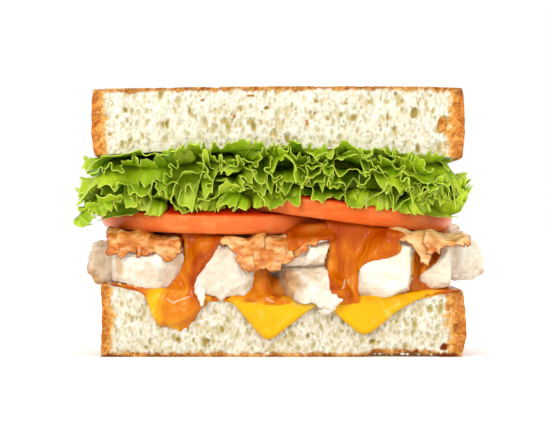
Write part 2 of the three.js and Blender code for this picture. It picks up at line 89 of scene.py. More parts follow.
def noise(x, y, z, seed):
    """Value noise between -1 and 1, over arrays."""
    x, y, z = np.broadcast_arrays(*(np.asarray(c, float) for c in (x, y, z)))
    i, j, k = (np.floor(c).astype(np.int64) for c in (x, y, z))
    u, v, w = (eased(c - f) for c, f in ((x, i), (y, j), (z, k)))
    total = 0.0
    for a, b, c in product((0, 1), repeat=3):
        share = (u if a else 1 - u) * (v if b else 1 - v) * (w if c else 1 - w)
        total = total + share * hashed(i + a, j + b, k + c, seed)
    return 2 * total - 1


def fbm(x, y, z, seed, octaves=3):
    """Noise with finer noise on it."""
    total, size, scale = 0.0, 1.0, 1.0
    for o in range(octaves):
        total = total + size * noise(x * scale, y * scale, z * scale, seed + 17 * o)
        size, scale = size * 0.5, scale * 2.03
    return total / 1.6


def bell(radius, size, step=1.0):
    kernel = np.exp(-0.5 * (np.arange(-radius, radius + 1) * step / size) ** 2)
    return kernel / kernel.sum()


# Meshes


def store(mesh, attributes):
    for key, values in attributes.items():
        layer = mesh.attributes.new(key, "FLOAT", "POINT")
        layer.data.foreach_set("value", np.asarray(values, np.float32).ravel())
    mesh.shade_smooth()


def vectors(collection, key):
    values = np.empty(len(collection) * 3, np.float32)
    collection.foreach_get(key, values)
    return values.reshape(-1, 3)


def mesh_object(name, points, faces, attributes=None):
    mesh = bpy.data.meshes.new(name)
    points = np.asarray(points, float).reshape(-1, 3) * MM
    faces = np.asarray(faces, np.int32)
    mesh.vertices.add(len(points))
    mesh.vertices.foreach_set("co", points.astype(np.float32).ravel())
    mesh.loops.add(faces.size)
    mesh.loops.foreach_set("vertex_index", faces.ravel())
    mesh.polygons.add(len(faces))
    starts = np.arange(0, faces.size, faces.shape[1], dtype=np.int32)
    mesh.polygons.foreach_set("loop_start", starts)
    mesh.update(calc_edges=True)
    mesh.validate()
    store(mesh, attributes or {})
    obj = bpy.data.objects.new(name, mesh)
    bpy.context.scene.collection.objects.link(obj)
    return obj


def unit_grid(steps, across):
    """Shares from 0 to 1 down the rows and along the columns of a grid."""
    return np.linspace(0, 1, steps + 1)[:, None], np.linspace(0, 1, across + 1)[None, :]


def grid_faces(rows, columns, closed=False, flip=False):
    """Quads over a rows x columns grid of points; closed joins the last column to the first."""
    i = np.arange(rows - 1)[:, None]
    j = np.arange(columns if closed else columns - 1)[None, :]
    a = i * columns + j
    b = i * columns + (j + 1) % columns
    quads = np.stack([a, b, b + columns, a + columns], -1).reshape(-1, 4)
    return quads[:, ::-1] if flip else quads


def closed_sheet(top, under, closed=False):
    """Points and faces of a closed sheet between two grids of points (rows, columns, 3)."""
    rows, columns = top.shape[:2]
    count = rows * columns
    points = np.concatenate([top.reshape(-1, 3), under.reshape(-1, 3)])
    faces = [grid_faces(rows, columns, closed), grid_faces(rows, columns, closed, True) + count]

    def wall(line):
        return np.stack([line[:-1], line[:-1] + count, line[1:] + count, line[1:]], -1)

    index = np.arange(count).reshape(rows, columns)
    first, last = index[0], index[-1]
    if closed:
        first, last = np.append(first, first[0]), np.append(last, last[0])
    faces += [wall(first), wall(last[::-1])]
    if not closed:
        faces += [wall(index[:, -1]), wall(index[::-1, 0])]
    return points, np.concatenate(faces)


def grid_normals(points):
    n = np.cross(np.gradient(points, axis=1), np.gradient(points, axis=0))
    return n / np.maximum(np.linalg.norm(n, axis=2, keepdims=True), 1e-9)


def place(obj, slot, node):
    """Gives a piece its look and its body, and hides the solid that it stands for."""
    obj.data.materials.append(LOOKS[slot])
    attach(obj, "root")
    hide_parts(node)
    return obj


def sheet_piece(name, node, slot, sheets):
    """One piece from closed sheets: (top grid, under grid, grids by attribute, joined round)."""
    points, faces, values, start = [], [], {}, 0
    for top, under, attributes, closed in sheets:
        p, f = closed_sheet(top, under, closed)
        points.append(p)
        faces.append(f + start)
        start += len(p)
        for key, grid in attributes.items():
            values.setdefault(key, []).extend([grid.ravel()] * 2)
    values = {key: np.concatenate(grids) for key, grids in values.items()}
    obj = mesh_object(name, np.concatenate(points), np.concatenate(faces), values)
    return place(obj, slot, node)


# Materials. Colours are given as they show, from 0 to 255. Noise scales are per metre.

WHITE_RETURNS = 0.74  # the light that a white surface sends back, so that colours come out as given
BRIGHTER = 1.09  # chicken lies in the shade of what is over it


def srgb(*colour):
    linear = (c / 12.92 if c <= 0.04045 else ((c + 0.055) / 1.055) ** 2.4 for c in (c / 255 for c in colour))
    return tuple(WHITE_RETURNS * c for c in linear) + (1.0,)


def bright(*colour):
    return tuple(min(0.96, c * BRIGHTER) for c in srgb(*colour)[:3]) + (1.0,)


class Look:
    """A Principled material whose colour, roughness and bump come from nodes."""

    def __init__(self, name):
        self.material = bpy.data.materials.new(name)
        self.material.use_nodes = True
        self.tree = self.material.node_tree
        self.shader = self.tree.nodes["Principled BSDF"]
        self.coordinates = self.node("TexCoord", "Object")

    def feed(self, value, socket):
        if isinstance(value, bpy.types.NodeSocket):
            self.tree.links.new(value, socket)
        else:
            socket.default_value = value

    def node(self, kind, output, sockets=None, **settings):
        """The output of a new node with these settings, fed with values or outputs of others."""
        node = self.tree.nodes.new("ShaderNode" + kind)
        for key, value in settings.items():
            setattr(node, key, value)
        for key, value in (sockets or {}).items():
            self.feed(value, node.inputs[key])
        return node.outputs[output]

    def set(self, **values):
        for key, value in values.items():
            self.feed(value, self.shader.inputs[key.replace("_", " ")])

    def attribute(self, name):
        return self.node("Attribute", "Fac", attribute_name=name)

    def scaled(self, x, y, z):
        return self.node("Mapping", "Vector", {"Vector": self.coordinates, "Scale": (x, y, z)})

    def noise(self, scale, detail=4.0, roughness=0.55, distortion=0.0, vector=None, output="Fac"):
        return self.node("TexNoise", output, {
            "Vector": vector or self.coordinates, "Scale": scale, "Detail": detail,
            "Roughness": roughness, "Distortion": distortion,
        })

    def cells(self, scale, vector=None, feature="F1"):
        sockets = {"Vector": vector or self.coordinates, "Scale": scale}
        return self.node("TexVoronoi", "Distance", sockets, feature=feature)

    def ramp(self, factor, *stops, tone=srgb):
        """Colours by a factor, from (position, red, green, blue) stops."""
        node = self.tree.nodes.new("ShaderNodeValToRGB")
        self.feed(factor, node.inputs["Fac"])
        elements = node.color_ramp.elements
        while len(elements) < len(stops):
            elements.new(0.5)
        for element, (position, *colour) in zip(elements, stops):
            element.position = position
            element.color = tone(*colour)
        return node.outputs["Color"]

    def range(self, value, low, high, to_low=0.0, to_high=1.0):
        ends = {"From Min": low, "From Max": high, "To Min": to_low, "To Max": to_high}
        return self.node("MapRange", "Result", {"Value": value, **ends})

    def math(self, operation, a, b):
        return self.node("Math", 0, {0: a, 1: b}, operation=operation)

    def times(self, a, b):
        return self.math("MULTIPLY", a, b)

    def plus(self, a, b):
        return self.math("ADD", a, b)

    def blend(self, factor, a, b):
        """Goes from a to b, which are outputs, colours as they show (3) or linear colours (4)."""
        a, b = (srgb(*c) if isinstance(c, tuple) and len(c) == 3 else c for c in (a, b))
        return self.node("Mix", "Result", {"Factor": factor, "A": a, "B": b}, data_type="RGBA")

    def bump(self, height, distance, strength, onto=None):
        sockets = {"Height": height, "Distance": distance, "Strength": strength}
        return self.node("Bump", "Normal", {**sockets, **({"Normal": onto} if onto else {})})

    def finish(self, colour, rough, relief, soft, **constants):
        """rough is (noise, least, most); soft is how much light goes in, how far, and by colour."""
        self.set(Base_Color=colour, Roughness=self.range(rough[0], 0.3, 0.7, *rough[1:]), Normal=relief)
        self.set(Subsurface_Weight=soft[0], Subsurface_Scale=soft[1], Subsurface_Radius=soft[2])
        self.set(**constants)
        return self.material


def bread_look():
    look = Look("bread")
    crust, pit = look.attribute("crust"), look.attribute("pit")
    fine, speck = look.noise(900.0, 5, 0.65), look.noise(420.0, 3, 0.6)
    crumb = look.ramp(look.noise(90.0), (0.3, 244, 238, 218), (0.55, 252, 249, 236), (0.75, 240, 230, 198))
    # Small open cells between the modelled ones, tall rather than wide, painted darker as painted shade
    warp = look.noise(500.0, 2.0, 0.5, output="Color")
    warped = look.blend(0.0011, look.scaled(1.0, 1.0, 0.55), warp)
    cell = look.range(look.cells(780.0, warped), 0.15, 0.6, 1.0, 0.0)
    small = look.range(look.cells(1700.0, warped), 0.1, 0.45, 1.0, 0.0)
    painted_cell_shade = look.ramp(fine, (0.35, 196, 180, 108), (0.65, 228, 214, 160))
    crumb = look.blend(look.times(cell, look.range(speck, 0.42, 0.6, 0.25, 0.85)), crumb, painted_cell_shade)
    crumb = look.blend(look.times(small, 0.4), crumb, painted_cell_shade)
    # Painted shade: the modelled pores darker the deeper they are
    deep = look.ramp(speck, (0.3, 186, 160, 82), (0.55, 210, 192, 118), (0.75, 230, 216, 156))
    crumb = look.blend(look.range(pit, 0.15, 0.85), crumb, deep)
    crumb = look.blend(look.range(pit, 0.8, 1.0, 0.0, 0.7), crumb, (166, 140, 70))
    # Crust on the cut face, flecked and pitted, and the plainer rind outside
    grain = look.noise(760.0, 5, 0.7, 0.4)
    uneven = look.plus(crust, look.range(look.noise(520.0, 4, 0.65), 0.3, 0.7, -0.3, 0.3))
    crusted = look.ramp(
        uneven, (0.1, 252, 236, 190), (0.35, 255, 216, 136), (0.6, 250, 190, 98), (0.82, 232, 146, 54),
        (1.0, 182, 90, 20),
    )
    flecked = look.ramp(
        grain, (0.34, 132, 50, 4), (0.44, 206, 122, 44), (0.56, 244, 178, 92), (0.7, 255, 222, 160),
    )
    crusted = look.blend(0.5, crusted, flecked)
    pitted = look.range(look.cells(640.0), 0.05, 0.3, 1.0, 0.0)
    crusted = look.blend(look.times(pitted, 0.75), crusted, (138, 56, 8))
    dark = look.range(look.noise(380.0, 4, 0.6), 0.56, 0.64)
    crusted = look.blend(look.times(dark, 0.5), crusted, (140, 54, 6))
    mottle = look.plus(look.times(look.noise(70.0, 4, 0.6), 0.6), look.times(grain, 0.4))
    rind = look.ramp(
        mottle, (0.32, 164, 84, 26), (0.45, 206, 126, 50), (0.56, 226, 156, 78), (0.7, 240, 188, 118),
    )
    crusted = look.blend(look.attribute("outer"), crusted, rind)
    colour = look.blend(look.range(uneven, 0.12, 0.5), crumb, crusted)
    browning = look.plus(look.times(look.noise(110.0, 3), 0.25), look.times(look.noise(640.0, 5, 0.7), 0.75))
    toasted = look.ramp(
        browning, (0.34, 92, 38, 4), (0.42, 168, 94, 28), (0.5, 212, 146, 66), (0.62, 238, 192, 120),
    )
    colour = look.blend(look.attribute("toast"), colour, toasted)
    colour = look.blend(look.attribute("scorch"), colour, (112, 34, 4))
    relief = look.bump(fine, 0.0003, 0.6, look.bump(cell, 0.0005, -0.5))
    relief = look.bump(speck, 0.0006, 0.5, relief)
    soft = (0.1, 0.0015, (1.0, 0.8, 0.5))
    return look.finish(colour, (fine, 0.62, 0.85), relief, soft, IOR=1.4, Specular_IOR_Level=0.12)


def cheese_look():
    look = Look("cheese")
    colour = look.ramp(look.noise(60.0, 3), (0.3, 255, 178, 0), (0.6, 255, 196, 0), (0.8, 255, 212, 8))
    stain = look.times(look.attribute("stain"), look.range(look.noise(170.0), 0.35, 0.6))
    colour = look.blend(stain, colour, (222, 112, 10))
    # Painted highlight: pale glossy patches
    painted_sheen = look.noise(150.0, 3, 0.6, 0.6, look.scaled(1.0, 1.0, 0.6))
    colour = look.blend(look.range(painted_sheen, 0.57, 0.7, 0.0, 0.75), colour, (255, 222, 110))
    rough = (look.noise(300.0, 3), 0.14, 0.3)
    relief = look.bump(look.noise(220.0, 3), 0.0006, 0.35)
    soft = (0.08, 0.002, (1.0, 0.6, 0.1))
    return look.finish(colour, rough, relief, soft, IOR=1.45, Specular_IOR_Level=0.2)


def tomato_look():
    look = Look("tomato")
    streak = look.noise(120.0, 4, 0.6, 0.6, look.scaled(1.0, 1.0, 2.4))
    skin = look.ramp(streak, (0.28, 234, 88, 16), (0.5, 248, 116, 42), (0.72, 255, 148, 80))
    pale = look.ramp(look.noise(40.0, 3), (0.4, 242, 106, 30), (0.62, 255, 152, 84))
    skin = look.blend(0.35, skin, pale)
    flesh = look.ramp(look.noise(110.0, 4, 0.6), (0.3, 206, 28, 0), (0.6, 232, 54, 6), (0.8, 240, 104, 46))
    seeds = look.times(look.range(look.cells(210.0), 0.0, 0.22, 1.0, 0.0), look.attribute("gel"))
    flesh = look.blend(seeds, flesh, (236, 186, 104))
    colour = look.blend(look.attribute("rim"), flesh, skin)
    relief = look.bump(look.noise(260.0), 0.0004, 0.4)
    soft = (0.2, 0.003, (1.0, 0.4, 0.15))
    return look.finish(colour, (streak, 0.2, 0.34), relief, soft, IOR=1.4, Specular_IOR_Level=0.18)


def bacon_look():
    look = Look("bacon")
    ridge = look.attribute("ridge")
    fine = look.noise(1100.0, 4, 0.65)
    grain = look.noise(430.0, 5, 0.6, 0.5, look.scaled(0.7, 1.0, 1.1))
    lean = look.ramp(
        grain, (0.32, 190, 86, 14), (0.44, 216, 120, 34), (0.56, 232, 146, 62), (0.7, 248, 188, 112),
    )
    pale = look.ramp(grain, (0.32, 224, 152, 74), (0.46, 242, 186, 110), (0.64, 255, 222, 162))
    wobble = look.range(look.noise(130.0, 4, 0.6, 0.4), 0.3, 0.7, -0.5, 0.5)
    fat = look.range(look.plus(look.attribute("fat"), wobble), 0.25, 0.85)
    colour = look.blend(fat, lean, pale)
    # Painted shade in the grooves of the wrinkles and a painted highlight on their ridges
    painted_groove_shade = look.times(look.range(ridge, 0.45, 0.1), look.range(grain, 0.35, 0.6))
    colour = look.blend(look.times(painted_groove_shade, 0.6), colour, (188, 84, 16))
    colour = look.blend(look.range(ridge, 0.6, 1.0, 0.0, 0.5), colour, (255, 226, 178))
    burnt = look.times(look.attribute("sear"), look.range(look.noise(300.0), 0.3, 0.55))
    colour = look.blend(burnt, colour, (158, 66, 18))
    relief = look.bump(grain, 0.0006, 0.6, look.bump(fine, 0.0002, 0.3))
    soft = (0.1, 0.0015, (1.0, 0.5, 0.25))
    return look.finish(colour, (fine, 0.22, 0.42), relief, soft, IOR=1.45, Specular_IOR_Level=0.3)


def chicken_look():
    look = Look("chicken")
    broad = look.noise(70.0, 4, 0.6)
    flesh = look.ramp(broad, (0.3, 255, 252, 244), (0.55, 251, 246, 231), (0.76, 245, 229, 198), tone=bright)
    strand = look.range(look.noise(900.0, 5, 0.65, 0.3, look.scaled(1.0, 1.0, 0.28)), 0.4, 0.66)
    flesh = look.blend(look.times(strand, 0.3), flesh, bright(236, 218, 182))
    flesh = look.blend(look.range(look.attribute("hue"), 1.0, 0.0, 0.0, 0.45), flesh, bright(234, 212, 178))
    # Painted shade: darker along the sunk creases of the meat
    flesh = look.blend(look.range(look.attribute("painted_crease_shade"), 0.1, 0.9, 0.0, 0.25), flesh, bright(226, 196, 152))
    browned = look.ramp(look.noise(210.0), (0.35, 182, 124, 70), (0.65, 226, 180, 118))
    colour = look.blend(look.attribute("tan"), flesh, browned)
    # Painted light: the meat glows, most on chunks that other food keeps in the shade
    painted_glow_colour = look.blend(look.attribute("painted_glow"), (0.2, 0.18, 0.15, 1.0), (1.0, 0.88, 0.66, 1.0))
    rough = (look.noise(500.0), 0.34, 0.6)
    relief = look.bump(strand, 0.0004, 0.5, look.bump(look.noise(600.0, 5, 0.6), 0.0006, 0.6))
    soft = (0.2, 0.003, (1.0, 0.7, 0.5))
    return look.finish(colour, rough, relief, soft, IOR=1.4, Emission_Color=painted_glow_colour, Emission_Strength=0.15)


def sauce_look():
    look = Look("sauce")
    streak = look.noise(120.0, 4, 0.55, 0.8, look.scaled(1.0, 1.0, 0.4))
    colour = look.ramp(streak, (0.3, 164, 56, 0), (0.44, 204, 94, 0), (0.56, 230, 126, 6), (0.7, 248, 176, 70))
    film = look.ramp(streak, (0.3, 222, 114, 4), (0.7, 242, 152, 36))
    colour = look.blend(look.times(look.attribute("film"), 0.85), colour, film)
    # Painted shade: darker high up under the tomato, and over the bed under the chicken
    colour = look.blend(look.times(look.attribute("shade"), 0.7), colour, (176, 58, 0))
    colour = look.blend(look.attribute("thin"), colour, (252, 178, 22))
    speck = look.range(look.cells(520.0), 0.0, 0.12, 1.0, 0.0)
    colour = look.blend(look.times(speck, 0.5), colour, (176, 56, 14))
    # Painted highlight along the raised ridges
    colour = look.blend(look.range(look.attribute("raised_painted_glint"), 0.25, 1.0, 0.0, 0.75), colour, (255, 222, 180))
    relief = look.bump(look.noise(260.0), 0.001, 0.5)
    soft = (0.1, 0.002, (1.0, 0.45, 0.12))
    return look.finish(colour, (streak, 0.12, 0.22), relief, soft, IOR=1.4, Specular_IOR_Level=0.2)


def lettuce_look():
    look = Look("lettuce")
    margin, fold = look.attribute("margin"), look.attribute("fold")
    broad = look.noise(85.0, 4, 0.6)
    blade = look.ramp(broad, (0.3, 98, 146, 0), (0.42, 148, 188, 4), (0.56, 192, 218, 26), (0.7, 220, 238, 92))
    web = look.range(look.cells(230.0, feature="DISTANCE_TO_EDGE"), 0.0, 0.05, 1.0, 0.0)
    ray = look.range(look.math("PINGPONG", look.attribute("rib"), 0.5), 0.0, 0.09, 1.0, 0.0)
    vein = look.math("MAXIMUM", look.times(web, 0.5), look.times(ray, look.range(margin, 1.0, 0.4)))
    blade = look.blend(look.times(vein, 0.4), blade, (200, 224, 96))
    # Painted highlight: paler on the crests of the folds
    rib = look.times(look.range(fold, 0.6, 0.95), look.range(look.noise(120.0, 3), 0.48, 0.62))
    blade = look.blend(look.times(rib, 0.55), blade, (206, 220, 150))
    # Painted shade: dark towards a leaf's root and in the troughs of the folds
    colour = look.blend(look.range(margin, 0.1, 0.7), (50, 88, 0), blade)
    colour = look.blend(look.range(fold, 0.45, 0.1, 0.0, 0.6), colour, (64, 108, 0))
    # Paler towards the margin and a pale margin line: partly the leaf's own tone, partly painted highlight
    colour = look.blend(look.range(margin, 0.7, 1.0, 0.0, 0.45), colour, (212, 234, 70))
    colour = look.blend(look.range(margin, 0.975, 1.0), colour, (214, 234, 92))
    relief = look.bump(vein, 0.0003, 0.5, look.bump(look.noise(260.0), 0.0006, 0.5))
    soft = (0.35, 0.0015, (0.6, 1.0, 0.05))
    return look.finish(colour, (broad, 0.27, 0.42), relief, soft, IOR=1.4, Specular_IOR_Level=0.3)


LOOKS = {
    "bread": bread_look(), "cheese": cheese_look(), "tomato": tomato_look(), "bacon": bacon_look(),
    "chicken": chicken_look(), "sauce": sauce_look(), "lettuce": lettuce_look(),
}


# Bread

BOTTOM_SLICE_TOP = [(-58, 23.9), (-30, 19.2), (12, 17.2), (40, 18.6), (60, 21.6)]
TOP_SLICE_UNDER = [(-60, 65.3), (-30, 66.8), (5, 67.6), (30, 66.6), (60, 64.4)]
TOP_SLICE_TOP = [(-60, 86.9), (-21, 87.6), (20, 87.8), (50, 87.6), (60, 87.2)]
# How many pores of a size, and the ranges of their half width, height over width, and depth
PORES = [
    (34, (0.6, 1.2), (1.2, 2.4), (0.7, 1.4)),
    (420, (0.38, 0.66), (1.2, 2.6), (0.5, 1.1)),
    (1700, (0.24, 0.4), (1.0, 2.4), (0.3, 0.7)),
]


def flat_bottom(x):
    return 0.0 * np.asarray(x, float)


def bottom_slice_top(x):
    return along(BOTTOM_SLICE_TOP, x)


def top_slice_under(x):
    return along(TOP_SLICE_UNDER, x)


def top_slice_top(x):
    return along(TOP_SLICE_TOP, x)


def half_width(y):
    half = BREAD_WIDTH / 2 + smooth(FRONT, FRONT + 26, y) * SIDE_BULGE
    into = np.maximum(0, y - (BACK - BACK_CORNER_RADIUS))
    reach = np.sqrt(np.maximum(0, BACK_CORNER_RADIUS**2 - into**2))
    return half - BACK_CORNER_RADIUS + reach


def pore_field(x, z, pores, seed):
    """Depth of open cells at a grid of points on the cut face, in millimetres, by x and z."""
    depth = np.zeros_like(x)
    column_x = x[:, 0].copy()
    x = x + 0.22 * fbm(x / 0.9, 0, z / 0.9, seed + 81, 2)
    z = z + 0.3 * fbm(x / 1.1, 5, z / 1.1, seed + 83, 2)
    for px, pz, wide, tall, deep, lean in pores:
        reach = max(wide, tall) * 1.15 + 0.4
        near = np.nonzero(np.abs(column_x - px) < reach)[0]
        if not len(near):
            continue
        window = slice(near[0], near[-1] + 1)
        dx, dz = x[window] - px, z[window] - pz
        r = ((dx + lean * dz) / wide) ** 2 + (dz / tall) ** 2
        depth[window] = np.maximum(depth[window], deep * np.sqrt(np.clip(1 - r, 0, 1)) ** 0.8)
    return depth


def random_pores(rng, under, over, crowded):
    pores = []
    for count, wide, stretch, deep in PORES:
        for _ in range(int(count * crowded)):
            px = rng.uniform(-59, 59)
            w = rng.uniform(*wide)
            tall = w * rng.uniform(*stretch)
            pz = rng.uniform(under(px) + tall * 0.6, over(px) - tall * 0.6)
            pores.append((px, pz, w, tall, rng.uniform(*deep), rng.uniform(-0.3, 0.3)))
    return pores


def bread_slice(name, node, under, over, left_shift, bulge, seed, toasted_top, holes, cells, scorched):
    """A slice with crust round three sides and, on the cut face, open cells and scorched spots."""
    columns, depths, rows = 300, 24, 50
    index = -np.ones((columns + 1, depths + 1, rows + 1), np.int64)
    shell = np.ones_like(index, bool)
    shell[1:-1, 1:-1, 1:-1] = False
    i, j, k = np.nonzero(shell)
    index[i, j, k] = np.arange(len(i))
    u = np.linspace(-1, 1, columns + 1)[i]
    v = (np.linspace(0, 1, depths + 1) ** 1.2)[j]
    w = np.linspace(0, 1, rows + 1)[k]
    y = FRONT + BREAD_DEPTH * v
    half = half_width(y)
    middle = 1 - (2 * w - 1) ** 2
    x = u * half + np.where(u < 0, -u * left_shift, 0.0)
    x = x + np.sign(u) * np.abs(u) ** 9 * (middle * np.where(u < 0, bulge[0], bulge[1]) - 0.3)
    from_cut = y - FRONT
    bite = smooth(27, 33, x) * smooth(53, 49, x) * smooth(5, 0, from_cut)
    bite = bite * (1.3 + 0.5 * noise(x / 1.6, 0, 0, seed + 71))
    z_low, z_high = under(x) + (0 if toasted_top else bite), over(x)
    z = mix(z_low, z_high, w)
    height = z_high - z_low

    to_side = (1 - np.abs(u)) * half
    rim = np.minimum(to_side, BACK - y)
    to_top, to_bottom = (1 - w) * height, w * height
    to_cap = np.minimum(to_top, to_bottom)

    # Rounded crust edges where the sides and the back meet the two faces of the slice
    on_side = (i == 0) | (i == columns)
    on_back, on_front = j == depths, j == 0
    on_cap = (k == 0) | (k == rows)
    blunt = mix(0.2, 1.0, smooth(0, 6, from_cut))
    round_side = 0.5 * blunt * np.clip(1 - to_cap / 2.0, 0, 1) ** 2
    x = x - np.where(on_side, np.sign(u) * round_side, 0)
    y = y - np.where(on_back, round_side, 0)
    round_cap = 0.45 * blunt * np.clip(1 - rim / 2.0, 0, 1) ** 2
    z = z + np.where(on_cap, np.where(k == 0, round_cap, -round_cap), 0)

    # Crust relief: shallow dents and wrinkles
    dents = fbm(x / 9, y / 9, z / 7, seed) * 0.5 + fbm(x / 2.6, y / 2.6, z / 2.2, seed + 3) * 0.22
    x = x + np.where(on_side & ~on_cap, np.sign(u) * dents, 0)
    y = y + np.where(on_back & ~on_cap, dents + 0.9 * middle, 0)
    # The flat faces have a coarse, torn crumb, apart from the foot
    torn = fbm(x / 1.5, y / 1.8, seed * 1.0, seed + 7, 2) * 0.32
    torn = torn + fbm(x / 7, y / 7, 2.0, seed + 9, 2) * 0.35
    inward = np.minimum(0, torn) * np.where((k == 0) & (not toasted_top), 0.0, 1.0)
    z = z + np.where(on_cap, np.where(k == 0, -inward, inward), 0)

    # Open cells of the crumb on the cut face
    face = index[:, 0, :]
    fx, fz = x[face], z[face]
    crowded = 0.75 if toasted_top else 1.0
    pores = random_pores(np.random.default_rng(seed), under, over, crowded) + holes + cells
    depth = pore_field(fx, fz, pores, seed)
    lumps = 0.24 * fbm(fx / 0.9, 0, fz / 1.3, seed + 21, 2) + 0.25 * fbm(fx / 4, 0, fz / 4, seed + 23, 2)

    # Crust shows on the cut face as a band with a mottled inner edge, wider on the right
    on_right = fx > 0
    crust_width = 3.0 + 1.0 * fbm(fz / 2.2, fx * 0, 0, seed + 31, 2)
    crust_width = np.where(on_right, crust_width + 0.3, crust_width)
    reach_in = np.where(on_right, 1.3 if toasted_top else 1.42, 1.25)
    mottled = np.where(on_right, 1.5 if toasted_top else 0.9, 0.5) * fbm(fx, fz, 0, seed + 33, 2)
    skin = np.clip(reach_in - (to_side[face] + mottled) / (crust_width * 1.5), 0, 1)
    edge_fade = smooth(0.0, 0.5, to_cap[face]) * smooth(0.2, 1.2, to_side[face])
    y[face] = y[face] + (depth * mix(1.0, 0.55, skin) + np.maximum(lumps, -0.1)) * edge_fade

    crust, scorch, pit, toast = (np.zeros(len(i)) for _ in range(4))
    band = 2.6 + 1.0 * fbm(x / 5, y / 5, 1.0, seed + 41, 2)
    crust[on_cap] = (1 - smooth(band - 1.2, band + 0.8, rim))[on_cap]
    crust[on_side | on_back] = 1.0
    for sx, sz, wide, tall, strength in scorched:
        r = np.hypot((fx - sx) / wide, (fz - sz) / tall) + 0.55 * fbm(fx / 0.8, 0, fz / 0.8, seed + 35, 2)
        scorch[face] = np.maximum(scorch[face], strength * (1 - smooth(0.7, 1.15, r)))
    for hx, hz, wide, tall, *_ in holes:
        r = np.hypot((fx - hx) / wide, (fz - hz) / tall)
        skin = np.maximum(skin, 0.68 * (1 - smooth(0.7, 1.1, r)))
    crust[face] = np.maximum(np.maximum(skin, 0), scorch[face])
    # pit is how deep a pore is, which the look paints darker as painted shade
    pit[face] = np.clip(depth / 1.3, 0, 1) * edge_fade

    # The grilled face, its line on the cut face, and scorched crumbs along it
    grilled, reach, most = (k == rows, to_top, 0.35) if toasted_top else (k == 0, to_bottom, 0.75)
    toast_band = 1.35 + 0.8 * fbm(x / 1.7, z * 0, 0, seed + 51, 3)
    near_face = 1 - smooth(toast_band - 0.5, toast_band + 0.45, reach)
    toast[face] = near_face[face]
    burnt = near_face[face] * smooth(-0.35, 0.3, fbm(fx / 2.6, 0, 0, seed + 37, 3))
    scorch[face] = np.maximum(scorch[face], burnt * smooth(0.95, 0.2, reach[face]) * most)
    toast[grilled] = 0.95 - 0.45 * np.clip(crust[grilled], 0, 1)
    ragged_edge = np.maximum(0, fbm(x / 1.3, 0, 0, seed + 61, 2)) * near_face
    y = y - np.where(on_front, 0.35 * ragged_edge, 0)

    def side(block, flip):
        a, b, c, d = block[:-1, :-1], block[1:, :-1], block[1:, 1:], block[:-1, 1:]
        quads = np.stack([a, b, c, d], -1).reshape(-1, 4)
        return quads[:, ::-1] if flip else quads

    faces = np.concatenate([
        side(index[:, 0, :], False), side(index[:, -1, :], True),
        side(index[0, :, :], True), side(index[-1, :, :], False),
        side(index[:, :, 0], True), side(index[:, :, -1], False),
    ])
    attributes = {"crust": crust, "toast": toast, "pit": pit, "scorch": scorch, "outer": 1.0 * ~on_front}
    return place(mesh_object(name, np.stack([x, y, z], -1), faces, attributes), "bread", node)


# Holes and cells are (x, z, half width, half height, depth, lean); scorched spots end in a strength
bread_slice(
    "lower_slice", "bread_bottom", flat_bottom, bottom_slice_top, 2.0, (-0.7, 1.3), 3, False,
    holes=[(55.0, 16.2, 0.9, 1.9, 1.0, 0.0)],
    cells=[
        (-32.4, 5.5, 1.0, 1.0, 1.6, 0.2), (-23.1, 5.2, 1.2, 0.9, 1.6, 0.1), (-18.2, 8.8, 1.0, 1.3, 1.3, 0),
        (-44.4, 12.5, 0.5, 1.1, 1.2, 0.3), (-42.8, 2.9, 0.8, 0.8, 1.3, 0.4), (30.6, 4.9, 1.1, 1.0, 1.5, 0),
        (20.7, 8.4, 0.7, 0.6, 1.3, 0), (49.3, 15.6, 1.2, 1.5, 1.2, 0), (-27.0, 14.5, 0.9, 1.3, 1.2, 0),
        (-3.0, 1.9, 1.5, 0.5, 1.1, -0.3), (38.5, 11.6, 0.8, 1.0, 1.1, 0),
    ],
    scorched=[
        (54.0, 3.3, 1.3, 1.5, 0.95), (57.6, 9.6, 0.9, 1.3, 0.6), (54.2, 0.3, 4.4, 1.1, 0.95),
        (-54.2, 0.1, 4.2, 0.8, 0.9),
    ],
)
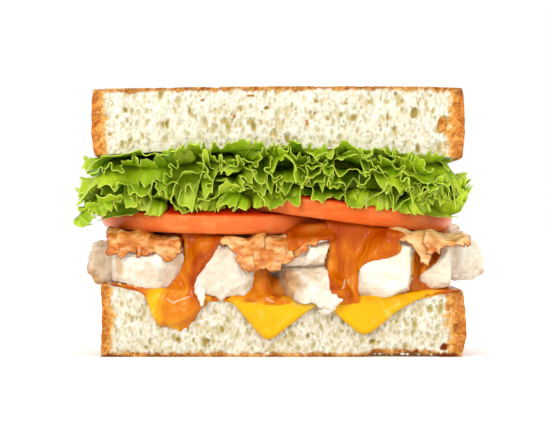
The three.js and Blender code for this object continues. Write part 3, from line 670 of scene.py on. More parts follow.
bread_slice(
    "upper_slice", "bread_top", top_slice_under, top_slice_top, 0.0, (0.9, 0.7), 4, True,
    holes=[(53.4, 75.4, 1.8, 3.0, 2.2, -0.25)],
    cells=[
        (44.2, 79.2, 1.4, 1.9, 1.8, -0.2), (24.6, 77.6, 1.3, 1.2, 1.6, -0.3), (20.4, 78.4, 0.9, 1.0, 1.3, 0),
        (16.2, 77.4, 0.7, 1.0, 1.3, 0), (40.2, 82.8, 0.8, 1.1, 1.2, 0), (29.6, 82.6, 1.0, 0.8, 1.2, 0.3),
        (35.2, 82.8, 1.3, 0.9, 1.0, 0), (-36.0, 75.4, 0.7, 1.6, 1.7, 0), (-49.6, 80.0, 0.9, 1.1, 1.4, 0),
        (-54.6, 72.2, 0.7, 0.6, 1.4, 0), (-32.4, 83.2, 1.3, 1.5, 1.0, 0), (-28.6, 80.0, 0.6, 2.1, 1.2, 0),
        (-23.8, 76.2, 1.2, 2.6, 1.0, 0.2), (-17.2, 76.6, 1.0, 1.1, 1.2, 0), (-12.2, 80.6, 0.9, 1.2, 1.3, 0),
        (-9.6, 76.0, 0.8, 0.9, 1.2, 0), (-3.6, 80.8, 1.1, 0.7, 1.5, 0), (12.4, 83.0, 1.0, 0.8, 1.3, 0),
        (21.8, 82.2, 0.8, 0.7, 1.1, 0), (-44.0, 71.6, 0.6, 1.2, 1.1, 0.2),
    ],
    scorched=[
        (58.8, 86.4, 1.5, 1.8, 0.5), (-24.3, 83.3, 0.6, 0.6, 0.6), (-17.2, 81.9, 0.45, 0.45, 0.55),
        (-14.3, 78.0, 0.55, 0.7, 0.6), (-8.8, 84.8, 1.5, 0.5, 0.65), (12.0, 79.1, 0.45, 0.7, 0.5),
        (9.4, 76.2, 0.5, 1.2, 0.45), (38.1, 85.6, 0.6, 0.6, 0.5),
    ],
)

# Cheese

CHEESE_THICKNESS = 2.3
CHEESE_GAP = 0.12  # between the bread and the cheese
BEND = 0.7


def drape(path, lift):
    """A path over the slice, bent down over its front and back edges, with the sheet's lift off it."""
    edge = BACK - BEND
    beyond = np.maximum(0, np.abs(path) - edge)
    neutral = BEND + CHEESE_THICKNESS * 0.5
    turn = np.minimum(math.pi / 2, beyond / neutral)
    down = np.maximum(0, beyond - neutral * math.pi / 2)
    radius = BEND + lift
    y = np.where(beyond > 0, np.sign(path) * (edge + radius * np.sin(turn)), path)
    return y, np.where(beyond > 0, -BEND + radius * np.cos(turn) - down, lift)


def cheese_piece(name, node, left, right, tapers, front_hang, back_hang, seed):
    v, u = unit_grid(80, 64)
    x = mix(left, right, u) + 0 * v
    from_front = BACK + along(front_hang, x) + 0.35 * fbm(x / 2.5, 0, 0, seed, 2)
    from_back = BACK + along(back_hang, x) + 0.35 * fbm(x / 2.5, 9, 0, seed, 2)
    s = 2 * v - 1
    s = np.sign(s) * np.abs(s) ** 0.55
    path = np.where(s < 0, s * from_front, s * from_back)
    past_edge = np.abs(path) - BACK
    to_tip = np.where(s < 0, from_front + path, from_back - path)
    to_side = np.minimum(x - left, right - x)
    rounded = np.sqrt(1 - (1 - np.clip(np.minimum(to_tip, to_side) / 1.3, 0, 1)) ** 2)
    bead = 0.5 * np.exp(-(((to_tip - 2.0) / 1.8) ** 2)) * smooth(2, 6, past_edge)
    sag = 0.35 * fbm(x / 5, path / 5, 0, seed + 5, 2) + 0.22 * fbm(x / 1.7, path / 2.3, 4, seed + 6, 2)
    thick = (CHEESE_THICKNESS + bead + sag) * np.maximum(rounded, 0.04)
    thick = thick * mix(0.25, 1, smooth(0, tapers[0], x - left) * smooth(0, tapers[1], right - x))
    stain = np.maximum(smooth(4.0, 0.5, past_edge + 1), smooth(3.2, 1.0, to_side))
    stain = stain + 2.5 * smooth(-41, -46, x)

    def laid(lift):
        y, dz = drape(path, lift)
        return np.stack([x, y, bottom_slice_top(x) + dz], -1)

    sheet = (laid(CHEESE_GAP + thick), laid(CHEESE_GAP + 0 * thick), {"stain": stain}, False)
    return sheet_piece(name, node, "cheese", [sheet])


cheeses = [
    cheese_piece(
        "cheese_slice_left", "cheese_left", -55.0, -18.7, (13, 6),
        [(-54, 0.6), (-46, 1.6), (-43.2, 3.4), (-41.2, 8), (-38.8, 10.8), (-33, 10.4), (-29.5, 8.8),
         (-25.5, 4.6), (-22, 2.0), (-19, 1.0)],
        [(-54, 1), (-45, 5), (-37, 10.5), (-28, 5), (-19, 1.2)], 11,
    ),
    cheese_piece(
        "cheese_slice_middle", "cheese_middle", -18.4, 14.7, (5, 4),
        [(-18, 1.2), (-14.5, 2.6), (-10.5, 7), (-6.5, 11.6), (-3.4, 13.6), (-0.4, 12.2), (4.5, 8.2),
         (9.5, 4.2), (14.4, 1.2)],
        [(-18, 1), (-9, 6), (0, 12), (8, 7), (14.4, 1.2)], 12,
    ),
    cheese_piece(
        "cheese_slice_right", "cheese_right", 14.9, 57.6, (4, 14),
        [(15.2, 1.2), (18.5, 4.4), (22.5, 8.4), (27.4, 12), (31.5, 10.4), (37, 6.6), (43, 3.2), (49, 1.5),
         (57.6, 0.8)],
        [(15.2, 1), (25, 6), (34, 11), (45, 5), (57.6, 1)], 13,
    ),
]

# Tomato

TOMATO_RADIUS = 40.0
TOMATO_THICKNESS = 6.5
TOMATO_CROWN = 2.4  # how much the cut face rises from its rim to its middle
LEFT_TOMATO = {
    "x": -20.5, "y": -0.6, "slope_x": -0.017, "slope_y": 0.052, "under": 41.9, "seed": 0.7, "bend": 0.0,
}
RIGHT_TOMATO = {
    "x": 19.6, "y": -0.4, "slope_x": -0.131, "slope_y": 0.052, "under": 45.9, "seed": 2.1, "bend": 2.1,
}


def tomato_under(t, x, y):
    level = t["under"] + t["slope_x"] * (x - t["x"]) + t["slope_y"] * (y - t["y"])
    return level - t["bend"] * smooth(2, -17, x)


def tomato_slice(name, node, t, lies_on_it):
    """A slice whose profile is (radius, height, how much of it is skin); another may lie on it."""
    around = 260
    half = TOMATO_THICKNESS / 2
    face = [0.4, 6, 12, 18, 23, 27, 30, 33, 35.5, 37]
    rim = [
        (38.2, -half, 1), (38.75, -2.7, 1), (39.2, -1.9, 1), (39.6, -1.0, 1), (39.85, 0.0, 1),
        (40.0, 1.0, 1), (39.98, 1.8, 1), (39.85, 2.4, 0.9), (39.5, 2.95, 0.1), (38.9, half, 0),
    ]
    profile = [(r, -half, 0) for r in face] + rim + [(r, half, 0) for r in reversed(face)]
    r, h, skin = (np.array(c, float)[:, None] for c in zip(*profile))
    angle = np.linspace(0, 2 * math.pi, around, endpoint=False)[None, :]
    uneven = 1 + 0.012 * np.cos(3 * angle + t["seed"]) + 0.008 * np.cos(5 * angle + 2 * t["seed"])
    x = t["x"] + r * uneven * np.cos(angle)
    y = t["y"] + r * uneven * np.sin(angle)
    # Between the walls of the fruit the flesh is sunk and filled with gel
    spokes = np.cos(5 * angle + t["seed"] + 0.4 * np.sin(3 * angle))
    gel = smooth(-0.1, 0.5, spokes) * smooth(9, 14, r) * smooth(33, 29, r)
    lumps = 0.18 * fbm(x / 3, y / 3, 0, 71, 2)
    lift = np.where(np.abs(h) >= half - 1e-6, np.sign(h) * (lumps - 0.5 * gel), 0)
    wave = 0.22 * fbm(x / 8, y / 8, h / 5, 73, 2) * skin
    x = x + wave * np.cos(angle)
    y = y + wave * np.sin(angle)
    low = tomato_under(t, x, y)
    covered = 0.0
    if lies_on_it:
        covered = smooth(-2.0, 0.5, TOMATO_RADIUS - np.hypot(x - lies_on_it["x"], y - lies_on_it["y"]))
    crown = TOMATO_CROWN * smooth(39.0, 31.0, r) * (h > half - 1e-6) * (1 - covered)
    z = low + half + h + lift + crown
    if lies_on_it:
        room = tomato_under(lies_on_it, x, y) - 0.15 - low
        z = low + (z - low) * mix(1.0, np.clip(room / TOMATO_THICKNESS, 0.3, 1.0), covered)
    points = np.stack([x, y, z], -1)
    count = len(points) * around
    quads = grid_faces(len(points), around, True)
    caps = zip((np.arange(around)[::-1], np.arange(count - around, count)), (count, count + 1))
    fans = [np.stack([cap, np.roll(cap, -1), np.full(around, centre)], -1) for cap, centre in caps]
    all_points = np.concatenate([points.reshape(-1, 3), [points[0].mean(0), points[-1].mean(0)]])
    triangles = np.concatenate([quads[:, [0, 1, 2]], quads[:, [0, 2, 3]], *fans])
    attributes = {
        key: np.append((value + 0 * r + 0 * angle).ravel(), [0.0, 0.0])
        for key, value in (("rim", skin), ("gel", gel))
    }
    return place(mesh_object(name, all_points, triangles, attributes), "tomato", node)


tomato_slice("tomato_slice_left", "tomato_left", LEFT_TOMATO, RIGHT_TOMATO)
tomato_slice("tomato_slice_right", "tomato_right", RIGHT_TOMATO, None)

# Bacon

BACON_THICKNESS = 1.5


def rasher_strip(tomato, fatty, start_x, end_x, hang, seed, lower):
    """A strip under a tomato slice that bends down at the front, as a sheet for sheet_piece."""
    v, u = unit_grid(88, 46)
    bend = 1.8
    wide = end_x - start_x
    start = -37.2 - 0.8 * noise(u * 3, 0, 0, seed)
    scallop = np.abs(np.sin(u * wide * 0.75 + 2 * noise(u * 5, 0, 0, seed + 2)))
    hang_here = along(hang, u) + 0.9 * scallop + 0.8 * fbm(u * wide / 2.6, 3, 0, seed, 3)
    length = 38.5 - start + 1.5 * noise(u * 4, 2, 0, seed) + 0.6 * fbm(u * 14, 5, 0, seed)
    path = mix(-hang_here - bend, length, v**1.5)
    x = mix(start_x, end_x, u) + 1.1 * noise(path / 13, u, 3, seed) + 0 * v
    torn_side = np.sign(u - 0.5) * smooth(0.25, 0.5, np.abs(u - 0.5))
    x = x + 0.8 * fbm(path / 2.6, 0, 0, seed + 5, 2) * torn_side
    x = x + 0.5 * np.sin(path / 1.3 + 3 * noise(u * wide / 3, path / 6, 0, seed)) * smooth(6, -2, path)
    wrinkles = fbm(x / 2.4, path / 1.1, 0, seed + 9, 3)
    ripple = 0.8 * np.sin(path / 4.2 + 2.5 * noise(u * 2, path / 20, 0, seed))
    ripple = ripple + 0.5 * np.sin(u * wide / 1.9 + path / 9) + 0.6 * wrinkles
    thick = BACON_THICKNESS * (1 + 0.25 * fbm(x / 3, path / 9, 0, seed + 11, 2)) / 2
    edge = np.minimum(np.minimum(u, 1 - u) * wide, np.minimum(path + hang_here + bend, length - path))
    thick = thick * np.maximum(np.sqrt(1 - (1 - np.clip(edge / 0.8, 0, 1)) ** 2), 0.05)
    fall = np.maximum(0, -path)
    turn = np.minimum(math.pi / 2.15, fall / bend)
    down = np.maximum(0, fall - turn * bend)
    y = np.where(path < 0, start - bend * np.sin(turn) - down * np.cos(turn), start + path)
    z = -bend * (1 - np.cos(turn)) - down * np.sin(turn)
    ny, nz = -np.sin(turn), np.cos(turn)
    lie = tomato_under(tomato, x, np.maximum(y, start)) - 1.0 - 0.8 * lower
    ahead = smooth(0, 4, fall)
    top, under = (
        np.stack([
            x,
            y + (ny * side * thick + 0.75 * ripple * ahead * ny),
            lie + z + (nz * side * thick + ripple * (1 - ahead)),
        ], -1)
        for side in (1, -1)
    )
    streaks = fbm(u * wide / 5, path / 2.6, 0, seed + 13, 2)
    # ridge follows the wrinkles, for the look's painted shade and painted highlight
    return top, under, {
        "fat": np.clip(fatty + 0.9 * streaks, 0, 1),
        "sear": 1 - smooth(0.1, 0.5, edge),
        "ridge": np.clip(0.5 + 0.7 * wrinkles, 0, 1),
    }, False


def rasher(side, tomato, fatty, strips):
    sheets = [rasher_strip(tomato, fatty, *strip) for strip in strips]
    return sheet_piece("rasher_" + side, "bacon_" + side, "bacon", sheets)


# Strips are (from x, to x, how far they hang at shares of the width, seed, how much lower they lie)
rashers = [
    rasher("left", LEFT_TOMATO, 0.15, [
        (-56.0, -41.0, [(0, 4.8), (0.3, 5.4), (0.7, 4.0), (1, 5.6)], 11, 0.0),
        (-46.0, -31.0, [(0, 5.2), (0.4, 3.4), (0.7, 6.0), (1, 2.6)], 14, 1.1),
    ]),
    rasher("middle", LEFT_TOMATO, 0.4, [
        (-18.5, -4.5, [(0, 1.6), (0.3, 4.0), (0.45, 8.8), (1, 9.6)], 12, 0.1),
        (-7.0, 5.5, [(0, 9.4), (0.5, 9.2), (0.8, 7.6), (1, 4.0)], 15, 0.0),
        (3.0, 12.4, [(0, 6.0), (0.3, 4.6), (0.7, 1.6), (1, 0.6)], 16, 0.4),
    ]),
    rasher("right", RIGHT_TOMATO, 0.95, [
        (36.0, 48.8, [(0, 0.6), (0.4, 1.2), (0.6, 2.6), (0.78, 7.6), (1, 7.4)], 13, 0.4),
        (47.5, 63.0, [(0, 4.4), (0.25, 4.2), (0.6, 0.8), (1, 0.2)], 17, 0.0),
    ]),
]

# Chicken

UNMOVED = ((0, 0, 0), (1, 1, 1))


def refined(name, source, voxel, relief, nudge):
    """A finer copy of a mesh, remeshed evenly, moved and stretched, with relief(points, normals)."""
    obj = bpy.data.objects.new(name, source.copy())
    bpy.context.scene.collection.objects.link(obj)
    obj.data.materials.clear()
    modifier = obj.modifiers.new("remesh", "REMESH")
    modifier.mode = "VOXEL"
    modifier.voxel_size = voxel * MM
    worn = obj.modifiers.new("worn", "SMOOTH")
    worn.factor, worn.iterations = 0.5, 1
    bpy.context.view_layer.update()
    made = bpy.data.meshes.new_from_object(obj.evaluated_get(bpy.context.evaluated_depsgraph_get()))
    obj.modifiers.clear()
    obj.data = made
    made.name = name
    points = vectors(made.vertices, "co").astype(float) / MM
    normals = vectors(made.vertex_normals, "vector").astype(float)
    move, stretch = np.array(nudge, float)
    centre = (points.min(0) + points.max(0)) / 2
    points = centre + move + (points - centre) * stretch
    offset, attributes = relief(points, normals)
    points = points + normals * offset[:, None]
    made.vertices.foreach_set("co", (points * MM).astype(np.float32).ravel())
    made.update()
    store(made, attributes)
    return obj


def muscle(seed, swell, coarse, tint=0.0, deepest=3.2, browned=(), sliced=(), painted_glow=0.2):
    """Relief of a chunk of meat: it cuts the points in place, then gives the offset of torn fibres."""
    rng = np.random.default_rng(seed)
    lean, turn = rng.uniform(-0.5, 0.5), rng.uniform(0, math.pi)
    directions = rng.normal(size=(16, 3))
    directions /= np.linalg.norm(directions, axis=1, keepdims=True)
    shaved = rng.uniform(0.25, 1.0, 16) * deepest

    def relief(points, normals):
        points += normals * swell
        for direction, depth in zip(directions, shaved):
            reach = points @ direction
            points -= direction * np.maximum(0, reach - (reach.max() - depth))[:, None]
        for direction, start in sliced:
            over = np.maximum(0, (points - start) @ np.array(direction))
            points -= np.array(direction) * over[:, None]
        x, y, z = points.T
        a = x * math.cos(turn) + y * math.sin(turn) + lean * z
        b = -x * math.sin(turn) + y * math.cos(turn)
        strands = fbm(a / 6, b / (0.75 * coarse**1.5), z / (0.75 * coarse**1.5), seed, 3)
        torn = fbm(a / 5, b / 2.6, z / 2.6, seed + 5, 2)
        lumps = fbm(x / 8, y / 8, z / 8, seed + 9, 2)
        crease = 1 - smooth(0.0, 0.09, np.abs(noise(a / 9, b / 3.2, z / 3.2, seed + 13)))
        offset = coarse * (0.3 * strands + 0.6 * torn + 0.45 * lumps - 0.35 * crease)
        patch = noise(x / 9, y / 9, z / 9, seed + 21) + 0.4 * noise(x / 3, y / 3, z / 3, seed + 22)
        tan = smooth(0.25 / coarse**2, 0.8, patch) * 0.4 * coarse**1.6 + tint
        for sx, sz, wide, tall, strength in browned:
            r = np.hypot((x - sx) / wide, (z - sz) / tall) + 0.3 * fbm(x / 2, y / 4, z / 4, seed + 23, 2)
            tan = np.maximum(tan, strength * (1 - smooth(0.5, 1.15, r)))
        hue = smooth(-0.5, 0.5, torn)
        # The creases are painted darker in the look, as painted shade; the glow share is painted light
        return offset, {"painted_crease_shade": crease, "tan": np.clip(tan, 0, 1), "hue": hue, "painted_glow": 0 * tan + painted_glow}

    return relief


def ragged(seed):
    def relief(points, normals):
        x, y, z = points.T
        offset = 0.2 * fbm(x / 0.9, y / 0.9, z / 0.9, seed, 2)
        offset = offset + 0.25 * fbm(x / 2.2, y / 2.2, z / 2.2, seed + 3, 2)
        zero = np.zeros(len(points))
        return offset, {"painted_crease_shade": zero, "tan": zero + 0.12, "hue": zero + 1, "painted_glow": zero + 0.2}

    return relief


def torn_bits(name, node, slot, spots, seed):
    """Small torn bits that have run together, from balls at (x, y, z, size, how tall)."""
    rings, around = 8, 12
    polar = np.linspace(0, math.pi, rings + 1)[:, None]
    angle = np.linspace(0, 2 * math.pi, around, endpoint=False)[None, :]
    ball = [np.sin(polar) * np.cos(angle), np.sin(polar) * np.sin(angle), np.cos(polar) + 0 * angle]
    ball = np.stack(ball, -1)
    points, faces = [], []
    for n, (x, y, z, size, tall) in enumerate(spots):
        points.append((ball * size * np.array([1.0, 0.8, tall]) + np.array([x, y, z])).reshape(-1, 3))
        faces.append(grid_faces(rings + 1, around, True, True) + n * (rings + 1) * around)
    balls = mesh_object(name + "_balls", np.concatenate(points), np.concatenate(faces))
    bits = refined(name, balls.data, 0.3, ragged(seed), UNMOVED)
    bpy.data.objects.remove(balls)
    return place(bits, slot, node)


# How a chunk differs from its solid and from the other chunks. nudge: how far it is moved, in
# millimetres, and stretched, as factors. browned: (x, z, half width, half height, strength).
# sliced: (direction, point) of flat cuts. deepest: its deepest cut. Its glow share is painted light.
AT_FRONT = (0, -1, 0)
CHUNKS = {
    "front_1": {
        "nudge": ((0.6, -1.2, -1.5), (0.97, 1, 1.1)),
        "browned": [(-51.5, 29.5, 1.6, 4.0, 0.8), (-32.5, 29.0, 1.8, 6.0, 0.6), (-36.0, 21.8, 3.5, 1.6, 0.5)],
        "sliced": [(AT_FRONT, (0, -38.6, 0)), ((0.79, -0.2, -0.58), (-33.4, -36.0, 26.0))],
    },
    "front_2": {
        "nudge": ((-0.3, -0.6, -0.9), (1.04, 1, 1.12)), "deepest": 0.8, "painted_glow": 0.0,
        # The broad faint patch darkens the whole chunk, where the key light falls full on it: painted shade
        "browned": [(-9.5, 24.0, 3.0, 5.0, 0.4), (-18.0, 27.0, 9.0, 9.0, 0.2)],
    },
    "front_3": {
        "nudge": ((2.4, -2.0, -1.5), (1.02, 1, 1.18)), "deepest": 2.4,
        "browned": [(1.0, 23.0, 8.5, 10.0, 1.0), (20.0, 23.5, 1.8, 5.0, 0.6)],
        "sliced": [(AT_FRONT, (0, -40.2, 0))],
    },
    "front_4": {
        "nudge": ((0.4, -1.2, 0.4), (1.04, 1, 1.06)), "painted_glow": 0.8,
        "browned": [(5.5, 34.0, 5.0, 5.0, 0.6), (12.0, 29.5, 6.0, 1.6, 0.45)],
        "sliced": [(AT_FRONT, (0, -38.8, 0))],
    },
    "front_5": {
        "nudge": ((1.6, -2.6, -2.2), (1.14, 1, 1.08)), "painted_glow": 0.35,
        "browned": [(26.5, 20.5, 3.5, 2.4, 0.5), (44.0, 27.0, 1.8, 5.0, 0.4)],
        "sliced": [(AT_FRONT, (0, -39.8, 0)), ((0.85, -0.3, -0.43), (43.6, -36.0, 24.0))],
    },
    "front_6": {
        "nudge": ((-0.2, -2.8, -1.4), (1.1, 1, 1.0)), "painted_glow": 0.8,
        "browned": [(46.5, 23.0, 4.0, 1.8, 0.6)],
        "sliced": [(AT_FRONT, (0, -38.4, 0)), ((-0.62, -0.4, 0.67), (49.6, -37.0, 28.6))],
    },
    "left": {"nudge": ((-1.6, 0, -1.4), (1.0, 1, 0.9)), "tint": 0.5},
    "right": {"nudge": ((0, 0, 0), (1.0, 1, 0.82)), "painted_glow": 1.0},
    "back_1": {}, "back_2": {}, "back_3": {}, "back_4": {}, "back_5": {},
}
chunks = []
for number, (key, own) in enumerate(CHUNKS.items()):
    swell, coarse, voxel = (0.8, 1.0, 0.55) if key.startswith("front") else (0.6, 1.6, 0.75)
    nudge = own.pop("nudge", UNMOVED)
    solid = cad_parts["chicken_" + key].data
    chunk = refined("chunk_" + key, solid, voxel, muscle(101 + number, swell, coarse, **own), nudge)
    chunks.append(place(chunk, "chicken", "chicken_" + key))

torn_bits("chicken_bits", "chicken_front_3", "chicken", [
    (12.4, -39.4, 19.4, 2.2, 1.0), (15.2, -40.4, 17.8, 1.9, 0.9), (17.0, -41.2, 16.6, 1.4, 0.8),
    (18.4, -41.4, 17.8, 1.6, 0.8), (19.9, -41.4, 18.6, 1.1, 0.7), (15.8, -40.0, 20.2, 2.1, 0.9),
    (18.0, -41.0, 19.6, 1.4, 0.8), (13.6, -40.2, 16.9, 1.1, 0.9),
], 401)
torn_bits("chicken_tip", "chicken_front_2", "chicken", [
    (-25.2, -38.2, 21.4, 1.9, 1.0), (-24.8, -39.2, 19.4, 1.3, 1.2), (-24.6, -39.8, 17.6, 0.75, 1.5),
], 402)
torn_bits("crumbs", "bread_bottom", "bread", [
    (31.4, -35.2, 1.2, 0.7, 0.8), (33.0, -35.6, 0.9, 0.55, 0.8), (36.8, -35.7, 0.8, 0.5, 0.8),
    (40.4, -35.4, 1.3, 0.7, 0.9), (42.0, -35.7, 0.9, 0.6, 0.7), (45.6, -35.5, 0.8, 0.5, 0.7),
    (49.8, -35.6, 0.8, 0.5, 0.7),
], 403)

# Sauce


def tree_of(objects):
    points, faces, start = [], [], 0
    for o in objects:
        points.append(vectors(o.data.vertices, "co") / MM)
        faces += [[v + start for v in p.vertices] for p in o.data.polygons]
        start += len(points[-1])
    return BVHTree.FromPolygons(np.concatenate(points).tolist(), faces)


def blurred(field, size):
    radius = int(max(1, round(size * 2)))
    for axis in (0, 1):
        padded = np.pad(field, [(radius, radius) if a == axis else (0, 0) for a in (0, 1)], mode="edge")
        line = np.arange(field.shape[axis])
        field = sum(k * np.take(padded, line + n, axis) for n, k in enumerate(bell(radius, size)))
    return field


def far_from(line, x, z):
    """How far points are from a line through (x, z) points, in millimetres."""
    distance = np.full(x.shape, 1e3)
    for (ax, az), (bx, bz) in zip(line[:-1], line[1:]):
        dx, dz = bx - ax, bz - az
        t = np.clip(((x - ax) * dx + (z - az) * dz) / (dx * dx + dz * dz + 1e-9), 0, 1)
        distance = np.minimum(distance, np.hypot(x - ax - t * dx, z - az - t * dz))
    return distance


def inside_outline(outline, x, z, seed):
    """How far inside a smooth closed outline points of the front are, in millimetres; outside is negative."""
    corners = np.array(outline, float)
    before, after, beyond = (np.roll(corners, n, 0) for n in (1, -1, -2))
    t = np.linspace(0, 1, 6, endpoint=False)[:, None, None]
    line = 0.5 * (
        2 * corners
        + (after - before) * t
        + (2 * before - 5 * corners + 4 * after - beyond) * t**2
        + (3 * corners - before - 3 * after + beyond) * t**3
    )
    line = line.transpose(1, 0, 2).reshape(-1, 2)
    distance = far_from(np.append(line, line[:1], 0), x, z)
    within = np.zeros(x.shape, bool)
    for (ax, az), (bx, bz) in zip(line, np.roll(line, -1, 0)):
        if bz != az:
            within ^= ((az > z) != (bz > z)) & (x < ax + (bx - ax) * (z - az) / (bz - az))
    return np.where(within, distance, -distance) + 0.35 * fbm(x / 2.2, 0, z / 2.2, seed, 2)


def foremost(field):
    """The smallest value of each point and its neighbours."""
    padded = np.pad(field, 1, mode="edge")
    rows, columns = field.shape
    shifts = product(range(3), repeat=2)
    return np.minimum.reduce([padded[a : a + rows, b : b + columns] for a, b in shifts])


def poured(name, node, behind, seed, outline, raised_painted_glints=(), thickness=1.7, deepest=-33.5):
    """Sauce that clings to what is behind it, bridges narrow gaps and has ridges with painted highlights."""
    step = 0.38
    xs, zs = np.array(outline).T
    x, z = np.meshgrid(*(np.arange(c.min() - 3, c.max() + 3, step) for c in (xs, zs)), indexing="ij")
    inside = inside_outline(outline, x, z, seed)
    surface = np.full(x.shape, deepest)
    for a, b in zip(*np.nonzero(inside > -2.5)):
        hit = behind.ray_cast(Vector((x[a, b], -80, z[a, b])), Vector((0, 1, 0)), 80 + deepest)
        if hit[0] is not None:
            surface[a, b] = hit[0].y
    above_slice = z - bottom_slice_top(x)
    surface = np.minimum(surface, np.where(z < bottom_slice_top(x) - 0.3, FRONT, 50))
    flowing = blurred(np.minimum(blurred(surface, 2.2), surface + 1.2), 1.6)
    over_rim = 1 - smooth(-1, 4, above_slice)
    ease = np.clip(inside / (2.4 + 1.6 * over_rim), 0, 1)
    dome = np.sqrt(1 - (1 - ease) ** 2)
    ripples = 0.32 * fbm(x / 2.2, 0, z / 5.0, seed + 3, 3)
    ripples = ripples + 0.35 * fbm(x / 1.9, 3, z / 1.5, seed + 4, 2) * over_rim
    front = flowing - dome * (thickness * (1 - 0.5 * over_rim) + ripples) + 0.25
    front = np.minimum(front, blurred(foremost(surface), 0.8) - 0.5 * dome + 0.2)
    raised_painted_glint = np.zeros(x.shape)
    for line in raised_painted_glints:
        raised_painted_glint = np.maximum(raised_painted_glint, np.exp(-((far_from(line, x, z) / 0.34) ** 2)))
    front = front - 0.3 * raised_painted_glint
    tucked = np.maximum(front, surface) + 2.6 * np.clip(-inside / 0.8, 0, 1)
    front = np.where(inside < 0, tucked, front)
    back = np.maximum(front, surface) + 1.1

    # Whole cells inside the outline, front and back, with walls along the edges that only one has
    keep = inside > -1.2
    cell = keep[:-1, :-1] & keep[1:, :-1] & keep[1:, 1:] & keep[:-1, 1:]
    used = np.zeros(x.shape, bool)
    for da, db in product((0, 1), repeat=2):
        used[da : da + cell.shape[0], db : db + cell.shape[1]] |= cell
    count = used.sum()
    index = -np.ones(x.shape, np.int64)
    index[used] = np.arange(count)
    a, b = np.nonzero(cell)
    quads = np.stack([index[a, b], index[a + 1, b], index[a + 1, b + 1], index[a, b + 1]], -1)
    edges = {}
    for quad in quads.tolist():
        for p, q in zip(quad, quad[1:] + quad[:1]):
            if (q, p) in edges:
                del edges[(q, p)]
            else:
                edges[(p, q)] = True
    walls = np.array([[q, p, p + count, q + count] for p, q in edges])
    faces = np.concatenate([quads, quads[:, ::-1] + count, walls])
    points = np.concatenate([np.stack([x[used], s[used], z[used]], -1) for s in (front, back)])
    left_facing = smooth(-0.1, 0.3, np.gradient(inside, step, axis=0))
    thin = smooth(3.2, 0.4, inside + 1.2 * fbm(x / 3, 0, z / 3, seed + 6, 2)) * over_rim * left_facing
    # shade darkens the sauce high up, under the tomato: painted shade
    film, shade = smooth(1.5, -3.0, above_slice), smooth(34.0, 40.0, z)
    grids = {"film": film, "shade": shade, "thin": 0.8 * thin, "raised_painted_glint": raised_painted_glint}
    attributes = {key: np.concatenate([grid[used]] * 2) for key, grid in grids.items()}
    return place(mesh_object(name, points, faces, attributes), "sauce", node)


def sauce_bed(side, left, right, tail, seed):
    """The sauce that soaks the bed under the chicken and shows as a line along the slice's rim."""
    v, u = unit_grid(46, int((right - left) / 0.6))
    x = mix(left, right, u) + 0 * v
    y = mix(FRONT - 0.9 + 0.5 * fbm(x / 3, 0, 0, seed, 2), BACK - 4, v**2.2)
    into = y - y[:1]
    front = smooth(1.6, 0, into)
    full = smooth(0, 12, np.abs(x - tail))
    heap = (2.2 + 0.8 * fbm(x / 3.2, y / 3.2, 0, seed + 3, 3)) * smooth(2.2, 5.0, into)
    mound = 4.5 + 9 * np.exp(-(((x - 44.2) / 4.2) ** 2))
    heap = heap + mound * smooth(3.2, 6.5, into) * smooth(34, 26, y)
    top = bottom_slice_top(x) + 0.5 + (1.1 + heap) * full - 0.7 * front * full
    under = bottom_slice_top(x) + 0.6 - (0.6 + 0.7 * fbm(x / 2.6, 2, 0, seed + 5, 2)) * front
    under = np.minimum(under, top - 0.25)
    zero = np.zeros(x.shape)
    # The whole bed, which lies under the chicken, is painted half in shade
    attributes = {"film": zero, "shade": zero + 0.5, "thin": zero, "raised_painted_glint": zero}
    grids = [np.stack([x, y, h], -1) for h in (top, under)]
    return sheet_piece("sauce_bed_" + side, "sauce_" + side, "sauce", [(*grids, attributes, False)])


meat_and_cheese = tree_of(chunks + cheeses)
all_behind = tree_of(chunks + cheeses + rashers)
poured("sauce_run_left", "sauce_left", all_behind, 5, [
    (-31.0, 41.5), (-30.4, 36.5), (-30.8, 31.5), (-32.4, 27.0), (-35.0, 23.4), (-38.0, 20.4), (-39.4, 17.0),
    (-39.6, 13.4), (-38.8, 10.4), (-35.6, 10.0), (-32.0, 8.4), (-29.2, 9.8), (-27.0, 12.4), (-25.0, 15.2),
    (-23.0, 17.6), (-24.6, 20.4), (-27.2, 22.8), (-25.2, 27.2), (-21.6, 32.0), (-19.0, 37.0), (-18.0, 41.5),
], [[(-35.4, 18.8), (-34.6, 18.0), (-33.6, 17.6), (-32.6, 18.3), (-31.2, 18.7), (-28.8, 19.6)]])
poured("sauce_run_middle", "sauce_middle", meat_and_cheese, 6, [
    (-7.4, 30.0), (-7.8, 26.0), (-8.6, 22.4), (-11.2, 19.8), (-12.0, 17.8), (-7.0, 17.4), (-2.0, 16.6),
    (3.0, 17.0), (3.6, 18.2), (0.0, 20.0), (-2.4, 23.0), (-3.2, 26.6), (-3.6, 30.0),
], [[(-3.8, 19.2), (-2.8, 18.4), (-1.6, 18.0)]], thickness=1.5)
poured("sauce_run_right", "sauce_right", all_behind, 7, [
    (16.4, 44.5), (16.4, 38.5), (16.4, 33.5), (16.2, 28.5), (16.6, 22.0), (14.4, 20.4), (15.4, 18.0),
    (20.0, 17.0), (24.0, 17.0), (26.6, 17.8), (26.4, 20.4), (26.0, 23.6), (26.0, 27.4), (28.0, 30.2),
    (31.6, 31.2), (36.0, 32.2), (39.0, 33.4), (40.2, 35.4), (39.2, 37.6), (41.0, 39.8), (37.0, 41.6),
    (28.0, 43.5),
], [[(21.6, 25.0), (21.4, 23.2), (20.8, 22.4)], [(22.9, 25.0), (22.8, 23.8)]])
